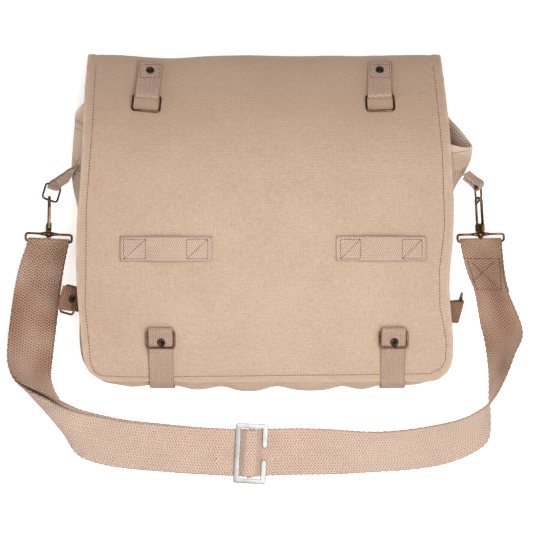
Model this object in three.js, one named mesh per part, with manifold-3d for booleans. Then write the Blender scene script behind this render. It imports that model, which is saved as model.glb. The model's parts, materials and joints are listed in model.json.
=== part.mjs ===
// Canvas field bag lying on its back, with its flap closed and its shoulder strap laid round it.
// Millimetres. Origin: middle of the back panel's outer face.
// +X right, +Y to the flap's fold, +Z out of the flap.
import * as THREE from 'three';
import { mergeVertices } from 'three/addons/utils/BufferGeometryUtils.js';
import Module from 'manifold-3d';

const wasm = await Module();
wasm.setup();

const CANVAS = 1.6; // wall of doubled cotton canvas
const TAPE = { width: 24.4, thick: 1.8 }; // narrow webbing
const STRAP = { atLoop: 42, thick: 1.8 }; // shoulder webbing, drawn in to pass the loops
const SEAT = 0.5; // gap between two layers that are sewn or rest on each other
const COVER_SPAN = 185; // half width over which the flap crowns
const COVER_POWER = 2.4;
const PANEL_DROP = CANVAS + 1.1; // front panel below the flap, middle to middle
const PANEL_HALF = 178;
const PANEL_CORNER = 30;
const FLAP_CORNER = 24;
const BACK = { half: 182, bottom: -163, top: 140, corner: 30 };
// The bag's mouth under the flap: where the front and the back of each side gusset end, and the dip between.
const MOUTH = {
  rib: 11.05,
  left: { rise: 33, back: 107, dip: 7 },
  right: { rise: -11, back: 117, dip: 23 },
};
const mouthOf = (side) => (side < 0 ? MOUTH.left : MOUTH.right);
const HEM_LIFT = { height: 5, reach: 18 }; // the stiff hem stands off the body
const RING = { wide: 28, long: 17.2, wire: 1.2, corner: 2.6 };
const SIDE_RING = { wide: 16, long: 18, wire: 1.2, corner: 3 };
const LOOP = { wide: 47.4, long: 8, wire: 1.3, corner: 2.2, boss: 3.4, bossHalf: 2.2, hole: 1.9, head: 1.6 };
const HOOK = { reach: 36.5, bend: 3, wire: 1.5, tipDrop: 5, base: 3, baseTop: 11.5, pivotY: 8, pin: 0.75 };
const SLIDER = {
  x: -14.7, y: -237.4, turn: -2.9, wide: 33.4, long: 61.5, bar: 5.4, rail: 4.6, middle: 4, gap: 17.5,
  low: 5, thick: 2.4,
};

const LOOKS = {
  canvas: { color: '#cdb793', roughness: 0.95, metalness: 0 },
  webbing: { color: '#bfa483', roughness: 0.95, metalness: 0 },
  dark: { color: '#4b4a47', roughness: 0.45, metalness: 1 },
  bright: { color: '#d4d5d2', roughness: 0.25, metalness: 1 },
};

// The flap from the bottom seam, up over the front, round the fold and on to the back panel,
// one row for each rib.
// crown and edge are heights of the middle and of the sides, left and right the flap's own half widths.
const RIBS = [
  { y: -164, crown: 36, edge: 34, left: 181, right: 188 },
  { y: -162.5, crown: 43, edge: 40, left: 181, right: 188 },
  { y: -160, crown: 50, edge: 46, left: 181, right: 188.5 },
  { y: -152, crown: 58, edge: 52, left: 181, right: 188.5 },
  { y: -140, crown: 65, edge: 57, left: 181.8, right: 188.5 },
  { y: -118, crown: 72.5, edge: 61, left: 184, right: 188.4 },
  { y: -85, crown: 79, edge: 64.5, left: 187.6, right: 185.6 },
  { y: -55, crown: 82.5, edge: 66, left: 188.2, right: 183.6 },
  { y: -20, crown: 85, edge: 67, left: 189, right: 188.4 },
  { y: 15, crown: 84, edge: 67, left: 187.5, right: 189.2 },
  { y: 55, crown: 78, edge: 63.5, left: 184.3, right: 187.8 },
  { y: 90, crown: 67.5, edge: 56.5, left: 182.5, right: 186 },
  { y: 120, crown: 54.5, edge: 47.5, left: 181.9, right: 183 },
  { y: 145, crown: 41, edge: 37, left: 181.2, right: 180.6 },
  { y: 160, crown: 31, edge: 29, left: 181, right: 179.2 },
  { y: 169, crown: 21.5, edge: 21, left: 180.7, right: 178.6 },
  { y: 171, crown: 15, edge: 15, left: 180.5, right: 178.5 },
  { y: 167, crown: 8.4, edge: 8.4, left: 178, right: 178 },
  { y: 157, crown: 4.2, edge: 4.2, left: 177, right: 177 },
  { y: 130, crown: 3.0, edge: 3.0, left: 176, right: 176 },
];
const HEM_RIB = 2;

// Shallow dips along the fold at the bag's top.
const FOLD_DIPS = [
  { x: -96, depth: 4.5, reach: 26 },
  { x: 25, depth: 2.5, reach: 24 },
  { x: 100, depth: 2.2, reach: 34 },
];

// Soft hollows and swells of the stuffed front, which the flap lies on.
const DENTS = [
  { x: -62, y: 98, depth: 2.6, wide: 46, long: 40 },
  { x: 58, y: 72, depth: 2.8, wide: 42, long: 52 },
  { x: -150, y: 30, depth: 2.2, wide: 30, long: 60 },
  { x: 10, y: -92, depth: 2.0, wide: 60, long: 34 },
  { x: 165, y: -62, depth: 3.2, wide: 32, long: 34 },
];

// Gathers along the bottom seam: the cloth bulges by depth between each pair of tucks.
const GATHERS = [
  { from: -148, to: -119, depth: 3, parts: 3 },
  { from: -119, to: -90, depth: 0, parts: 2 },
  { from: -90, to: -43, depth: 6, parts: 3 },
  { from: -43, to: 11, depth: 7.5, parts: 4 },
  { from: 11, to: 79, depth: 7.5, parts: 4 },
  { from: 79, to: 115, depth: 5, parts: 3 },
  { from: 115, to: 148, depth: 0.4, parts: 2 },
];

// How far the side gussets belly out past the seams.
const PUFFS = [
  { y: -164, left: 6, right: 5 },
  { y: -118, left: 11.5, right: 7 },
  { y: -80, left: 9, right: 6 },
  { y: -20, left: 7, right: 5 },
  { y: 12, left: 12, right: 6 },
  { y: 38, left: 20, right: 17 },
  { y: 60, left: 18.5, right: 29 },
  { y: 78, left: 17, right: 33.5 },
  { y: 96, left: 15.5, right: 33 },
];

// Both edges of the laid shoulder strap, from the right loop round to the left one.
// It lies on one edge where it turns each corner; bow is how far its middle bellies out there.
const STRAP_ROWS = [
  { ix: 243.2, iy: -55.8, iz: 29, ox: 209.2, oy: -53.8, oz: 3.4, bow: 0 },
  { ix: 246.8, iy: -72.1, iz: 34, ox: 216.2, oy: -70.3, oz: 3.2, bow: 0 },
  { ix: 260.6, iy: -101.8, iz: 26, ox: 221.4, oy: -103.2, oz: 2.4, bow: 1 },
  { ix: 262.3, iy: -117, iz: 29, ox: 226, oy: -121, oz: 2.4, bow: 3 },
  { ix: 253.6, iy: -132, iz: 39, ox: 228.8, oy: -139.5, oz: 2.4, bow: 2 },
  { ix: 246.2, iy: -150.9, iz: 45, ox: 230.5, oy: -156, oz: 2.4, bow: 2 },
  { ix: 229.4, iy: -181.5, iz: 49, ox: 230.5, oy: -185, oz: 2.4, bow: 0 },
  { ix: 211.8, iy: -194.1, iz: 40, ox: 232.0, oy: -216.5, oz: 2.4, bow: -2 },
  { ix: 201.3, iy: -200.2, iz: 31, ox: 225.3, oy: -230.4, oz: 2.4, bow: -2 },
  { ix: 168.4, iy: -208.4, iz: 23, ox: 181.1, oy: -250.0, oz: 2.4, bow: -1 },
  { ix: 115.2, iy: -214.4, iz: 24, ox: 116.3, oy: -256.1, oz: 1.6, bow: 0 },
  { ix: 70, iy: -212.2, iz: 8, ox: 70, oy: -259.0, oz: 1.4, bow: 0 },
  { ix: 30.8, iy: -211.4, iz: 1.4, ox: 29.8, oy: -259.4, oz: 1.4, bow: 0 },
  { ix: -13.5, iy: -212.6, iz: 2.4, ox: -16, oy: -260.6, oz: 2.4, bow: 0 },
  { ix: -59.0, iy: -211.2, iz: 2.4, ox: -62.5, oy: -259.1, oz: 2.4, bow: 0 },
  { ix: -102.5, iy: -208.3, iz: 2.4, ox: -109.5, oy: -255.8, oz: 2.4, bow: 0 },
  { ix: -145.1, iy: -204.4, iz: 3.6, ox: -156.4, oy: -251.1, oz: 2.4, bow: 0 },
  { ix: -169.2, iy: -198.9, iz: 12, ox: -180.1, oy: -244.7, oz: 2.6, bow: 2 },
  { ix: -190.3, iy: -193.2, iz: 29, ox: -195.4, oy: -236.6, oz: 2.8, bow: 6 },
  { ix: -208.5, iy: -185.2, iz: 41, ox: -207.9, oy: -206.1, oz: 3, bow: 11 },
  { ix: -220.3, iy: -178.5, iz: 42, ox: -213.0, oy: -187.6, oz: 3, bow: 13 },
  { ix: -235.8, iy: -171.6, iz: 40, ox: -217.1, oy: -178.3, oz: 3, bow: 11 },
  { ix: -250.8, iy: -163.4, iz: 34, ox: -219.7, oy: -167.0, oz: 3, bow: 7 },
  { ix: -260.5, iy: -150.7, iz: 22, ox: -219.7, oy: -153.7, oz: 3, bow: 3 },
  { ix: -263.3, iy: -133.7, iz: 12, ox: -217.6, oy: -134.1, oz: 3, bow: 0 },
  { ix: -257.2, iy: -77.4, iz: 8, ox: -211.2, oy: -77.5, oz: 3, bow: 0 },
  { ix: -251.1, iy: -44.6, iz: 7, ox: -206.6, oy: -45.6, oz: 4, bow: 0 },
];

// Extra height of the upper strap layer over the slider's middle bar, along the strap from the bar.
const SLIDER_HUMP = [
  { at: -16, rise: 0 },
  { at: -12, rise: 0 },
  { at: -9, rise: 1.7 },
  { at: -6.5, rise: 5.4 },
  { at: -4, rise: 7.7 },
  { at: 3.6, rise: 8.1 },
  { at: 6.2, rise: 5.8 },
  { at: 8.8, rise: 2.2 },
  { at: 12, rise: 0.3 },
  { at: 16, rise: 0 },
];

const part = new THREE.Group();
const vec = (x, y, z) => new THREE.Vector3(x, y, z);
const along = (point, direction, distance) => point.clone().addScaledVector(direction, distance);
const squareTo = (direction, axis) => (
  direction.clone().addScaledVector(axis, -direction.dot(axis)).normalize()
);

function add(name, geometry, look, place) {
  const mesh = new THREE.Mesh(geometry, new THREE.MeshStandardMaterial(LOOKS[look]));
  mesh.name = name;
  if (place) {
    mesh.quaternion.setFromRotationMatrix(new THREE.Matrix4().makeBasis(place.x, place.y, place.z));
    mesh.position.copy(place.at);
  }
  part.add(mesh);
  return mesh;
}

// A smooth curve through one column of a table, at a fractional row.
function column(rows, key, at) {
  const last = rows.length - 1;
  const row = Math.min(Math.max(Math.floor(at), 0), last - 1);
  const f = at - row;
  const p1 = rows[row][key];
  const p2 = rows[row + 1][key];
  const p0 = row > 0 ? rows[row - 1][key] : 2 * p1 - p2;
  const p3 = row + 2 <= last ? rows[row + 2][key] : 2 * p2 - p1;
  const a = 2 * p1;
  const b = p2 - p0;
  const c = 2 * p0 - 5 * p1 + 4 * p2 - p3;
  const d = 3 * p1 - p0 - 3 * p2 + p3;
  return 0.5 * (a + b * f + c * f * f + d * f * f * f);
}

// The row of a table at which a rising column reaches a value.
function rowAt(rows, key, value, last) {
  let low = 0;
  let high = last;
  for (let step = 0; step < 40; step += 1) {
    const middle = (low + high) / 2;
    if (column(rows, key, middle) < value) low = middle;
    else high = middle;
  }
  return low;
}

// A closed solid of one thickness on a grid of points, so that cloth and webbing share one builder.
function sheet(grid, thickness) {
  const rows = grid.length;
  const cols = grid[0].length;
  const upper = [];
  const lower = [];
  for (let r = 0; r < rows; r += 1) {
    for (let c = 0; c < cols; c += 1) {
      const down = grid[Math.min(r + 1, rows - 1)][c].clone().sub(grid[Math.max(r - 1, 0)][c]);
      const across = grid[r][Math.min(c + 1, cols - 1)].clone().sub(grid[r][Math.max(c - 1, 0)]);
      const normal = down.cross(across).normalize();
      upper.push(along(grid[r][c], normal, thickness / 2));
      lower.push(along(grid[r][c], normal, -thickness / 2));
    }
  }
  const under = rows * cols;
  const faces = [];
  for (let r = 0; r + 1 < rows; r += 1) {
    for (let c = 0; c + 1 < cols; c += 1) {
      const p = r * cols + c;
      const q = p + cols;
      faces.push(p, q, q + 1, p, q + 1, p + 1);
      faces.push(under + p, under + q + 1, under + q, under + p, under + p + 1, under + q + 1);
    }
  }
  const rim = [];
  for (let r = 0; r < rows - 1; r += 1) rim.push(r * cols);
  for (let c = 0; c < cols - 1; c += 1) rim.push((rows - 1) * cols + c);
  for (let r = rows - 1; r > 0; r -= 1) rim.push(r * cols + cols - 1);
  for (let c = cols - 1; c > 0; c -= 1) rim.push(c);
  rim.forEach((a, k) => {
    const b = rim[(k + 1) % rim.length];
    faces.push(b, a, under + a, b, under + a, under + b);
  });
  const geometry = new THREE.BufferGeometry();
  geometry.setFromPoints([...upper, ...lower]);
  geometry.setIndex(faces);
  geometry.computeVertexNormals();
  return geometry;
}

// A path straight from corner to corner, sampled at its corners only.
class CornerPath extends THREE.Curve {
  constructor(corners, closed) {
    super();
    this.corners = closed ? [...corners, corners[0]] : corners;
  }

  getPoint(t) {
    const last = this.corners.length - 1;
    const at = Math.min(Math.max(t, 0), 1) * last;
    const row = Math.min(Math.floor(at + 1e-9), last - 1);
    return this.corners[row].clone().lerp(this.corners[row + 1], at - row);
  }

  getPointAt(t) {
    return this.getPoint(t);
  }

  getTangentAt(t) {
    return this.getTangent(t);
  }
}

// A rectangular ring of round wire: its first bar along X at y 0, its second at y -long.
function ringGeometry({ wide, long, wire, corner }) {
  const corners = [];
  const centres = [
    { x: wide / 2 - corner, y: -corner, start: Math.PI / 2 },
    { x: wide / 2 - corner, y: -long + corner, start: 0 },
    { x: -wide / 2 + corner, y: -long + corner, start: -Math.PI / 2 },
    { x: -wide / 2 + corner, y: -corner, start: Math.PI },
  ];
  corners.push(vec(0, 0, 0));
  for (const { x, y, start } of centres) {
    for (const turn of [0, Math.PI / 4, Math.PI / 2]) {
      corners.push(vec(x + corner * Math.cos(start - turn), y + corner * Math.sin(start - turn), 0));
    }
  }
  return new THREE.TubeGeometry(new CornerPath(corners, true), corners.length, wire, 6, true);
}

function solidOf(geometry) {
  const bare = new THREE.BufferGeometry();
  bare.setAttribute('position', geometry.getAttribute('position'));
  bare.setIndex(geometry.getIndex());
  const merged = mergeVertices(bare, 1e-4);
  return new wasm.Manifold(new wasm.Mesh({
    numProp: 3,
    vertProperties: new Float32Array(merged.getAttribute('position').array),
    triVerts: new Uint32Array(merged.getIndex().array),
  }));
}

function geometryOf(solid) {
  const mesh = solid.getMesh();
  const geometry = new THREE.BufferGeometry();
  geometry.setAttribute('position', new THREE.BufferAttribute(new Float32Array(mesh.vertProperties), 3));
  geometry.setIndex(new THREE.BufferAttribute(new Uint32Array(mesh.triVerts), 1));
  return geometry;
}

const box = (x0, x1, y0, y1, z0, z1) => solidOf(
  new THREE.BoxGeometry(x1 - x0, y1 - y0, z1 - z0).translate((x0 + x1) / 2, (y0 + y1) / 2, (z0 + z1) / 2),
);
const post = (radius, y0, y1, sides) => solidOf(
  new THREE.CylinderGeometry(radius, radius, y1 - y0, sides).translate(0, (y0 + y1) / 2, 0),
);

// Body surfaces.

const rib = (at) => ({
  y: column(RIBS, 'y', at),
  crown: column(RIBS, 'crown', at),
  edge: column(RIBS, 'edge', at),
  left: column(RIBS, 'left', at),
  right: column(RIBS, 'right', at),
});
const ribAt = (y) => rowAt(RIBS, 'y', y, 15);

function foldDip(x, y) {
  const share = THREE.MathUtils.smoothstep(y, 95, 150);
  const depth = (dip) => dip.depth * Math.exp(-(((x - dip.x) / dip.reach) ** 2));
  return FOLD_DIPS.reduce((sum, dip) => sum + share * depth(dip), 0);
}

const dent = (x, y) => DENTS.reduce((sum, row) => {
  const reach = ((x - row.x) / row.wide) ** 2 + ((y - row.y) / row.long) ** 2;
  return sum + row.depth * Math.exp(-reach);
}, 0);

// The middle of the cloth that covers the bag's front, without the hem's lift.
function cover(x, at) {
  const { y, crown, edge } = rib(at);
  const fall = Math.abs(x / COVER_SPAN) ** COVER_POWER;
  const front = at < 15 ? 1 - THREE.MathUtils.smoothstep(y, 130, 165) : 0;
  return vec(x, y - foldDip(x, y), crown - (crown - edge) * fall - front * dent(x, y));
}

function flapPoint(x, at) {
  const point = cover(x, at);
  if (at < 10) point.z += HEM_LIFT.height * Math.exp(-(rib(at).y - rib(HEM_RIB).y) / HEM_LIFT.reach);
  return point;
}

// A point at a height over the flap's outer face, with the face's own directions there.
function onFlap(x, y, height) {
  const at = ribAt(y);
  const across = flapPoint(x + 1, at).sub(flapPoint(x - 1, at)).normalize();
  const up = flapPoint(x, at + 0.02).sub(flapPoint(x, at - 0.02)).normalize();
  const out = across.clone().cross(up).normalize();
  const point = along(flapPoint(x, at), out, CANVAS / 2 + height);
  return { point, across, up: out.clone().cross(across), out };
}

const cornerInset = (y, bottom, radius) => {
  const below = Math.min(Math.max(bottom + radius - y, 0), radius);
  return radius - Math.sqrt(radius * radius - below * below);
};

function gather(x) {
  const lobe = GATHERS.find((row) => x >= row.from && x <= row.to);
  if (!lobe) return 0;
  const f = (x - lobe.from) / (lobe.to - lobe.from);
  return lobe.depth * Math.max(Math.sin(Math.PI * f), 0) ** 0.6;
}

const puff = (y, side) => column(PUFFS, side < 0 ? 'left' : 'right', rowAt(PUFFS, 'y', y, PUFFS.length - 1));

const seamHalf = PANEL_HALF - PANEL_CORNER;
const columnsX = [GATHERS[0].from];
for (const { from, to, parts } of GATHERS) {
  for (let k = 1; k <= parts; k += 1) columnsX.push(from + ((to - from) * k) / parts);
}
const panelRows = [0, 0.7, 1.4, 2, 2.6, 3.3, 4, 5, 6.5, 8, 9, 9.6, 10.3, MOUTH.rib];
const bottomY = RIBS[0].y;
const mouthY = rib(MOUTH.rib).y;

function panelPoint(u, at) {
  const { y } = rib(at);
  const x = u * (PANEL_HALF - cornerInset(y, bottomY, PANEL_CORNER));
  const low = Math.max(1 - (y - bottomY) / 24, 0) ** 2;
  const high = Math.max((y - 20) / (mouthY - 20), 0) ** 2;
  const rise = mouthOf(u).rise * Math.abs(u) * high;
  const point = cover(x, high > 0 ? ribAt(y + rise) : at);
  point.y -= gather(u * seamHalf) * low;
  point.z -= PANEL_DROP;
  return point;
}

const panelGrid = panelRows.map((at) => columnsX.map((x) => panelPoint(x / seamHalf, at)));

// The gusset runs along the panel's rim: down the right side, along the bottom and up the left side.
const gussetBase = CANVAS + SEAT + 0.6;
const gussetTop = (seamZ) => seamZ - CANVAS / 2 - SEAT - 0.6;
const backShare = (y) => (y - bottomY) / (mouthY - bottomY);

function sideWall(side, at, t) {
  const { y } = rib(at);
  const seam = panelPoint(side, at);
  const { back, dip } = mouthOf(side);
  const backY = BACK.bottom + 2 + backShare(y) * (back - BACK.bottom - 2);
  const backX = side * (BACK.half - 2 - cornerInset(backY, BACK.bottom + 2, BACK.corner));
  const belly = puff(y, side) * Math.sin(Math.PI * t);
  const sag = dip * Math.sin(Math.PI * t) * backShare(y) ** 4;
  const inset = cornerInset(y, bottomY, PANEL_CORNER) / PANEL_CORNER;
  return vec(
    THREE.MathUtils.lerp(backX, seam.x, t) + side * belly * (1 - inset),
    THREE.MathUtils.lerp(backY, seam.y, t) - belly * inset * 0.6 - sag,
    THREE.MathUtils.lerp(gussetBase, gussetTop(seam.z), t),
  );
}

function bottomWall(x, t) {
  const seam = panelPoint(x / seamHalf, 0);
  const belly = (3 + 0.3 * gather(x)) * Math.sin(Math.PI * t);
  return vec(
    THREE.MathUtils.lerp((x * (BACK.half - 2 - BACK.corner)) / seamHalf, seam.x, t),
    THREE.MathUtils.lerp(BACK.bottom + 2, seam.y, t) - belly,
    THREE.MathUtils.lerp(gussetBase, gussetTop(seam.z), t),
  );
}

const heights = [0, 0.22, 0.46, 0.72, 1];
const gussetGrid = [];
for (const at of panelRows.slice(1).reverse()) gussetGrid.push(heights.map((t) => sideWall(1, at, t)));
for (const x of columnsX.slice().reverse()) gussetGrid.push(heights.map((t) => bottomWall(x, t)));
for (const at of panelRows.slice(1)) gussetGrid.push(heights.map((t) => sideWall(-1, at, t)));

// A point just outside a side gusset, at a place along the bag and a height.
function offWall(side, y, z, gap) {
  let at = ribAt(y);
  let point;
  for (let step = 0; step < 4; step += 1) {
    const top = sideWall(side, at, 1).z;
    point = sideWall(side, at, (z - gussetBase) / (top - gussetBase));
    at = ribAt(rib(at).y + y - point.y);
  }
  return vec(point.x + side * (CANVAS / 2 + gap), point.y, point.z);
}

const backShape = new THREE.Shape();
backShape.moveTo(-BACK.half, BACK.top);
backShape.lineTo(-BACK.half, BACK.bottom + BACK.corner);
const backBend = { x: BACK.half - BACK.corner, y: BACK.bottom + BACK.corner };
backShape.absarc(-backBend.x, backBend.y, BACK.corner, Math.PI, 1.5 * Math.PI, false);
backShape.absarc(backBend.x, backBend.y, BACK.corner, 1.5 * Math.PI, 2 * Math.PI, false);
backShape.lineTo(BACK.half, BACK.top);
backShape.closePath();
const backCut = { depth: CANVAS, bevelEnabled: false, curveSegments: 6 };
add('back_panel', new THREE.ExtrudeGeometry(backShape, backCut), 'canvas');
add('front_panel', sheet(panelGrid.map((row) => row.slice().reverse()), CANVAS), 'canvas');
add('gusset', sheet(gussetGrid, CANVAS), 'canvas');

const flapColumns = [-1, -0.93, -0.84, -0.7, -0.53, -0.36, -0.18, 0, 0.18, 0.36, 0.53, 0.7, 0.84, 0.93, 1];
const flapRows = [2, 2.2, 2.5, 3, 3.5];
for (let at = 4; at < 12; at += 1) flapRows.push(at);
for (let at = 12; at <= 18; at += 0.5) flapRows.push(at);
flapRows.push(RIBS.length - 1);
const flapGrid = flapRows.map((at) => flapColumns.map((u) => {
  const { y, left, right } = rib(at);
  const inset = at < 10 ? cornerInset(y, rib(HEM_RIB).y, FLAP_CORNER) : 0;
  return flapPoint(u * ((u < 0 ? left : right) - inset), at);
}).reverse());
add('flap', sheet(flapGrid, CANVAS), 'canvas');

// Webbing on the flap. Each strip is a row of stations across its width.

const acrossTape = [-TAPE.width / 2, 0, TAPE.width / 2];
const tapeLow = SEAT + TAPE.thick / 2;
const tapeHigh = tapeLow + TAPE.thick + SEAT;
const wrap = RING.wire + SEAT + TAPE.thick / 2;
const barHeight = tapeLow + wrap;

// Rows round a bar at the end of a strip, from its upper ply to its lower one.
function roundBar(bar, axis, upper, end, turns, section) {
  const rows = [];
  for (let k = 0; k <= turns; k += 1) {
    const angle = (Math.PI * k) / turns;
    const radial = upper.clone().multiplyScalar(Math.cos(angle)).addScaledVector(end, Math.sin(angle));
    rows.push(section.map(({ s, n, w }) => along(along(bar, axis, s), radial, w + n)));
  }
  return rows;
}

const flatSection = acrossTape.map((s) => ({ s, n: 0, w: wrap }));

// A strip on the flap that wraps a ring's bar: y values run from the far end to the bar.
function wrappedStrip({ x, ys, heightsAbove, tail, slant }) {
  const centre = (y) => x + slant * (y - ys[ys.length - 1]);
  const tapeRow = (y, k) => acrossTape.map((s) => onFlap(centre(y) + s, y, heightsAbove[k]).point);
  const rows = ys.slice(0, -1).map(tapeRow);
  const barY = ys[ys.length - 1];
  const seat = onFlap(x, barY, barHeight);
  const end = seat.up.clone().multiplyScalar(ys[0] < barY ? 1 : -1);
  rows.push(...roundBar(seat.point, seat.across, seat.out, end, 6, flatSection));
  for (const y of tail) rows.push(acrossTape.map((s) => onFlap(centre(y) + s, y, tapeLow).point));
  return { grid: rows, seat, end };
}

const rivetProfile = [
  { r: 0, z: 0 }, { r: 3.9, z: 0 }, { r: 4.1, z: 0.6 }, { r: 3.4, z: 1.5 }, { r: 2.4, z: 1.5 },
  { r: 1.7, z: 0.7 }, { r: 0, z: 0.6 },
].map(({ r, z }) => new THREE.Vector2(r, z));
const rivetGeometry = () => new THREE.LatheGeometry(rivetProfile, 12).rotateX(Math.PI / 2);

const TOP_TABS = [
  { name: 'left', x: -118.7, slant: 0.075 },
  { name: 'right', x: 115.5, slant: 0.03 },
];
for (const { name, x, slant } of TOP_TABS) {
  const ys = [161.5, 155, 148, 143, 138, 133.5, 127];
  const raised = [tapeHigh, tapeHigh, tapeHigh, tapeHigh, tapeHigh + 0.6, tapeHigh + 1.9];
  const tail = [132, 136, 142, 148, 155, 161.5];
  const { grid, seat } = wrappedStrip({ x, ys, heightsAbove: raised, tail, slant });
  add(`top_tab_${name}`, sheet(grid, TAPE.thick), 'webbing');
  const low = onFlap(x, 111.2, SEAT + RING.wire);
  const hang = squareTo(seat.point.clone().sub(low.point), seat.across);
  const face = seat.across.clone().cross(hang).normalize();
  add(`top_ring_${name}`, ringGeometry(RING), 'dark', { x: seat.across, y: hang, z: face, at: seat.point });
  const rivet = onFlap(x + slant * 26, 153, tapeHigh + TAPE.thick / 2 + 0.4);
  const rivetFrame = { x: rivet.across, y: rivet.up, z: rivet.out, at: rivet.point };
  add(`top_rivet_${name}`, rivetGeometry(), 'dark', rivetFrame);
}

const CLOSURES = [
  { name: 'left', x: -104, lean: -0.4 },
  { name: 'right', x: 128, lean: 1.5 },
];
// The closure strap's run from its seam on the bottom gusset up to the flap's hem.
const CLOSURE_RUN = [
  { y: -166.6, z: 4.5 }, { y: -168.4, z: 11 }, { y: -168.9, z: 19 }, { y: -168.2, z: 27 },
  { y: -166.9, z: 35 }, { y: -165.4, z: 43 }, { y: -163.8, z: 50 }, { y: -162.3, z: 54.4 },
];
for (const { name, x, lean } of CLOSURES) {
  const ys = [-158.5, -153, -146, -139, -133, -128, -121, -115.4, -112, -108.5];
  const single = [tapeLow + 0.3, tapeLow, tapeLow, tapeLow + 0.2, tapeLow + 1.2];
  const raised = [...single, tapeHigh - 0.4, tapeHigh, tapeHigh, tapeHigh + 1.7];
  const tail = [-113, -117, -121, -125];
  const { grid, seat } = wrappedStrip({ x, ys, heightsAbove: raised, tail, slant: 0 });
  const start = CLOSURE_RUN.map(({ y, z }) => acrossTape.map((s) => {
    const fall = cover(x + s, HEM_RIB).z - 49;
    return vec(x + lean + s, y, z + fall * (z / 50));
  }));
  add(`closure_strap_${name}`, sheet([...start, ...grid], TAPE.thick), 'webbing');
  const low = onFlap(x, -126.3, tapeHigh + TAPE.thick / 2 + SEAT + RING.wire);
  const hang = squareTo(seat.point.clone().sub(low.point), seat.across);
  const face = seat.across.clone().cross(hang).normalize();
  add(`closure_ring_${name}`, ringGeometry(RING), 'dark',
    { x: seat.across, y: hang, z: face, at: seat.point });
  const rivet = onFlap(x + 0.8, -119.7, tapeHigh + TAPE.thick / 2 + 0.4);
  const rivetFrame = { x: rivet.across, y: rivet.up, z: rivet.out, at: rivet.point };
  add(`closure_rivet_${name}`, rivetGeometry(), 'dark', rivetFrame);
}

const BELT_LOOPS = [
  { name: 'left', from: -144, to: -52.5, y: -27.6 },
  { name: 'right', from: 70.7, to: 160.5, y: -27.2 },
];
const BELT_LOOP = { sewn: 22, ramp: 6, rise: 2.4 };
for (const { name, from, to, y } of BELT_LOOPS) {
  const stations = [];
  for (let k = 0; k <= 15; k += 1) stations.push(from + ((to - from) * k) / 15);
  const grid = stations.map((x) => {
    const inside = Math.min(x - from, to - x) - BELT_LOOP.sewn;
    const lift = BELT_LOOP.rise * THREE.MathUtils.smoothstep(inside, 0, BELT_LOOP.ramp * 2);
    return acrossTape.map((s) => onFlap(x, y + s, tapeLow + lift).point);
  });
  add(`belt_loop_${name}`, sheet(grid, TAPE.thick), 'webbing');
}

// Side hardware. A tab is a strip folded round a ring's bar, with both ends on the side gusset.

// Where a line from a point meets the outside of a side gusset.
function toWall(side, point, direction, gap) {
  const step = 0.1;
  const probe = point.clone();
  for (let k = 0; k < 400; k += 1) {
    const next = along(probe, direction, step);
    if (side * (next.x - offWall(side, next.y, next.z, gap).x) < 0) return probe;
    probe.copy(next);
  }
  return probe;
}

const TAB = { lead: 5, apart: 0.25 }; // past the bar both plies close up, this far from their middle

function tabGrid({ side, root, bar, axis, upper, end, section, gap, inside }) {
  const wrapped = roundBar(bar, axis, upper, end, 6, section);
  const inwards = root.clone().sub(bar).normalize();
  const closedUp = (row, away) => row.map((point) => (
    along(along(point, inwards, TAB.lead), upper, away * (TAB.apart - inside))
  ));
  const onWall = (row) => row.map((point) => toWall(side, point, inwards, gap));
  const halfway = (a, b) => a.map((point, c) => point.clone().lerp(b[c], 0.5));
  const upperRow = closedUp(wrapped[0], 1);
  const lowerRow = closedUp(wrapped[6], -1);
  const upperEnd = onWall(upperRow);
  const lowerEnd = onWall(lowerRow);
  return [
    upperEnd, halfway(upperEnd, upperRow), upperRow, ...wrapped,
    lowerRow, halfway(lowerRow, lowerEnd), lowerEnd,
  ];
}

const LOW_TABS = [
  {
    name: 'left', side: -1, y: -79, z: 40.5, bar: vec(-204.6, -77, 41.2), axis: vec(0.25, 0.97, 0),
    lean: 32, rivet: true,
  },
  {
    name: 'right', side: 1, y: -91, z: 38, bar: vec(196.4, -90.5, 33.5), axis: vec(0.2, 0.88, 0.43),
    hangs: true,
  },
];
for (const { name, side, y, z, bar, axis, lean, hangs, rivet } of LOW_TABS) {
  axis.normalize();
  const root = offWall(side, y, z, 0);
  const end = squareTo(bar.clone().sub(root), axis);
  const upper = end.clone().cross(axis);
  if (upper.z < 0) upper.negate();
  const grid = tabGrid({
    side, root, bar, axis, upper, end, section: flatSection, gap: 0.7, inside: RING.wire + SEAT,
  });
  add(`low_tab_${name}`, sheet(grid, TAPE.thick), 'webbing');
  const tilt = THREE.MathUtils.degToRad(lean ?? 0);
  const away = squareTo(hangs ? vec(0, 0, -1) : vec(-side * Math.cos(tilt), 0, Math.sin(tilt)), axis);
  const hang = away.clone().negate();
  const ringFrame = { x: axis, y: hang, z: axis.clone().cross(hang), at: bar };
  add(`low_ring_${name}`, ringGeometry(RING), 'dark', ringFrame);
  if (rivet) {
    const middle = root.clone().lerp(bar, 0.42);
    const at = along(middle, upper, TAB.apart + TAPE.thick + 0.4);
    const inwards = end.clone().negate();
    const rivetFrame = { x: inwards, y: upper.clone().cross(inwards), z: upper, at };
    add(`low_rivet_${name}`, rivetGeometry(), 'dark', rivetFrame);
  }
}

// The strap hooks, in their own frame: Y from the swivel to the ring, X across the throat, gate on -X.
const pivotX = -HOOK.bend;
const tipY = HOOK.reach - HOOK.tipDrop;
// Where the side ring hangs in the hook's bend.
const ringSeat = HOOK.reach + HOOK.bend - HOOK.wire - SIDE_RING.wire - 0.45;

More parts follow.
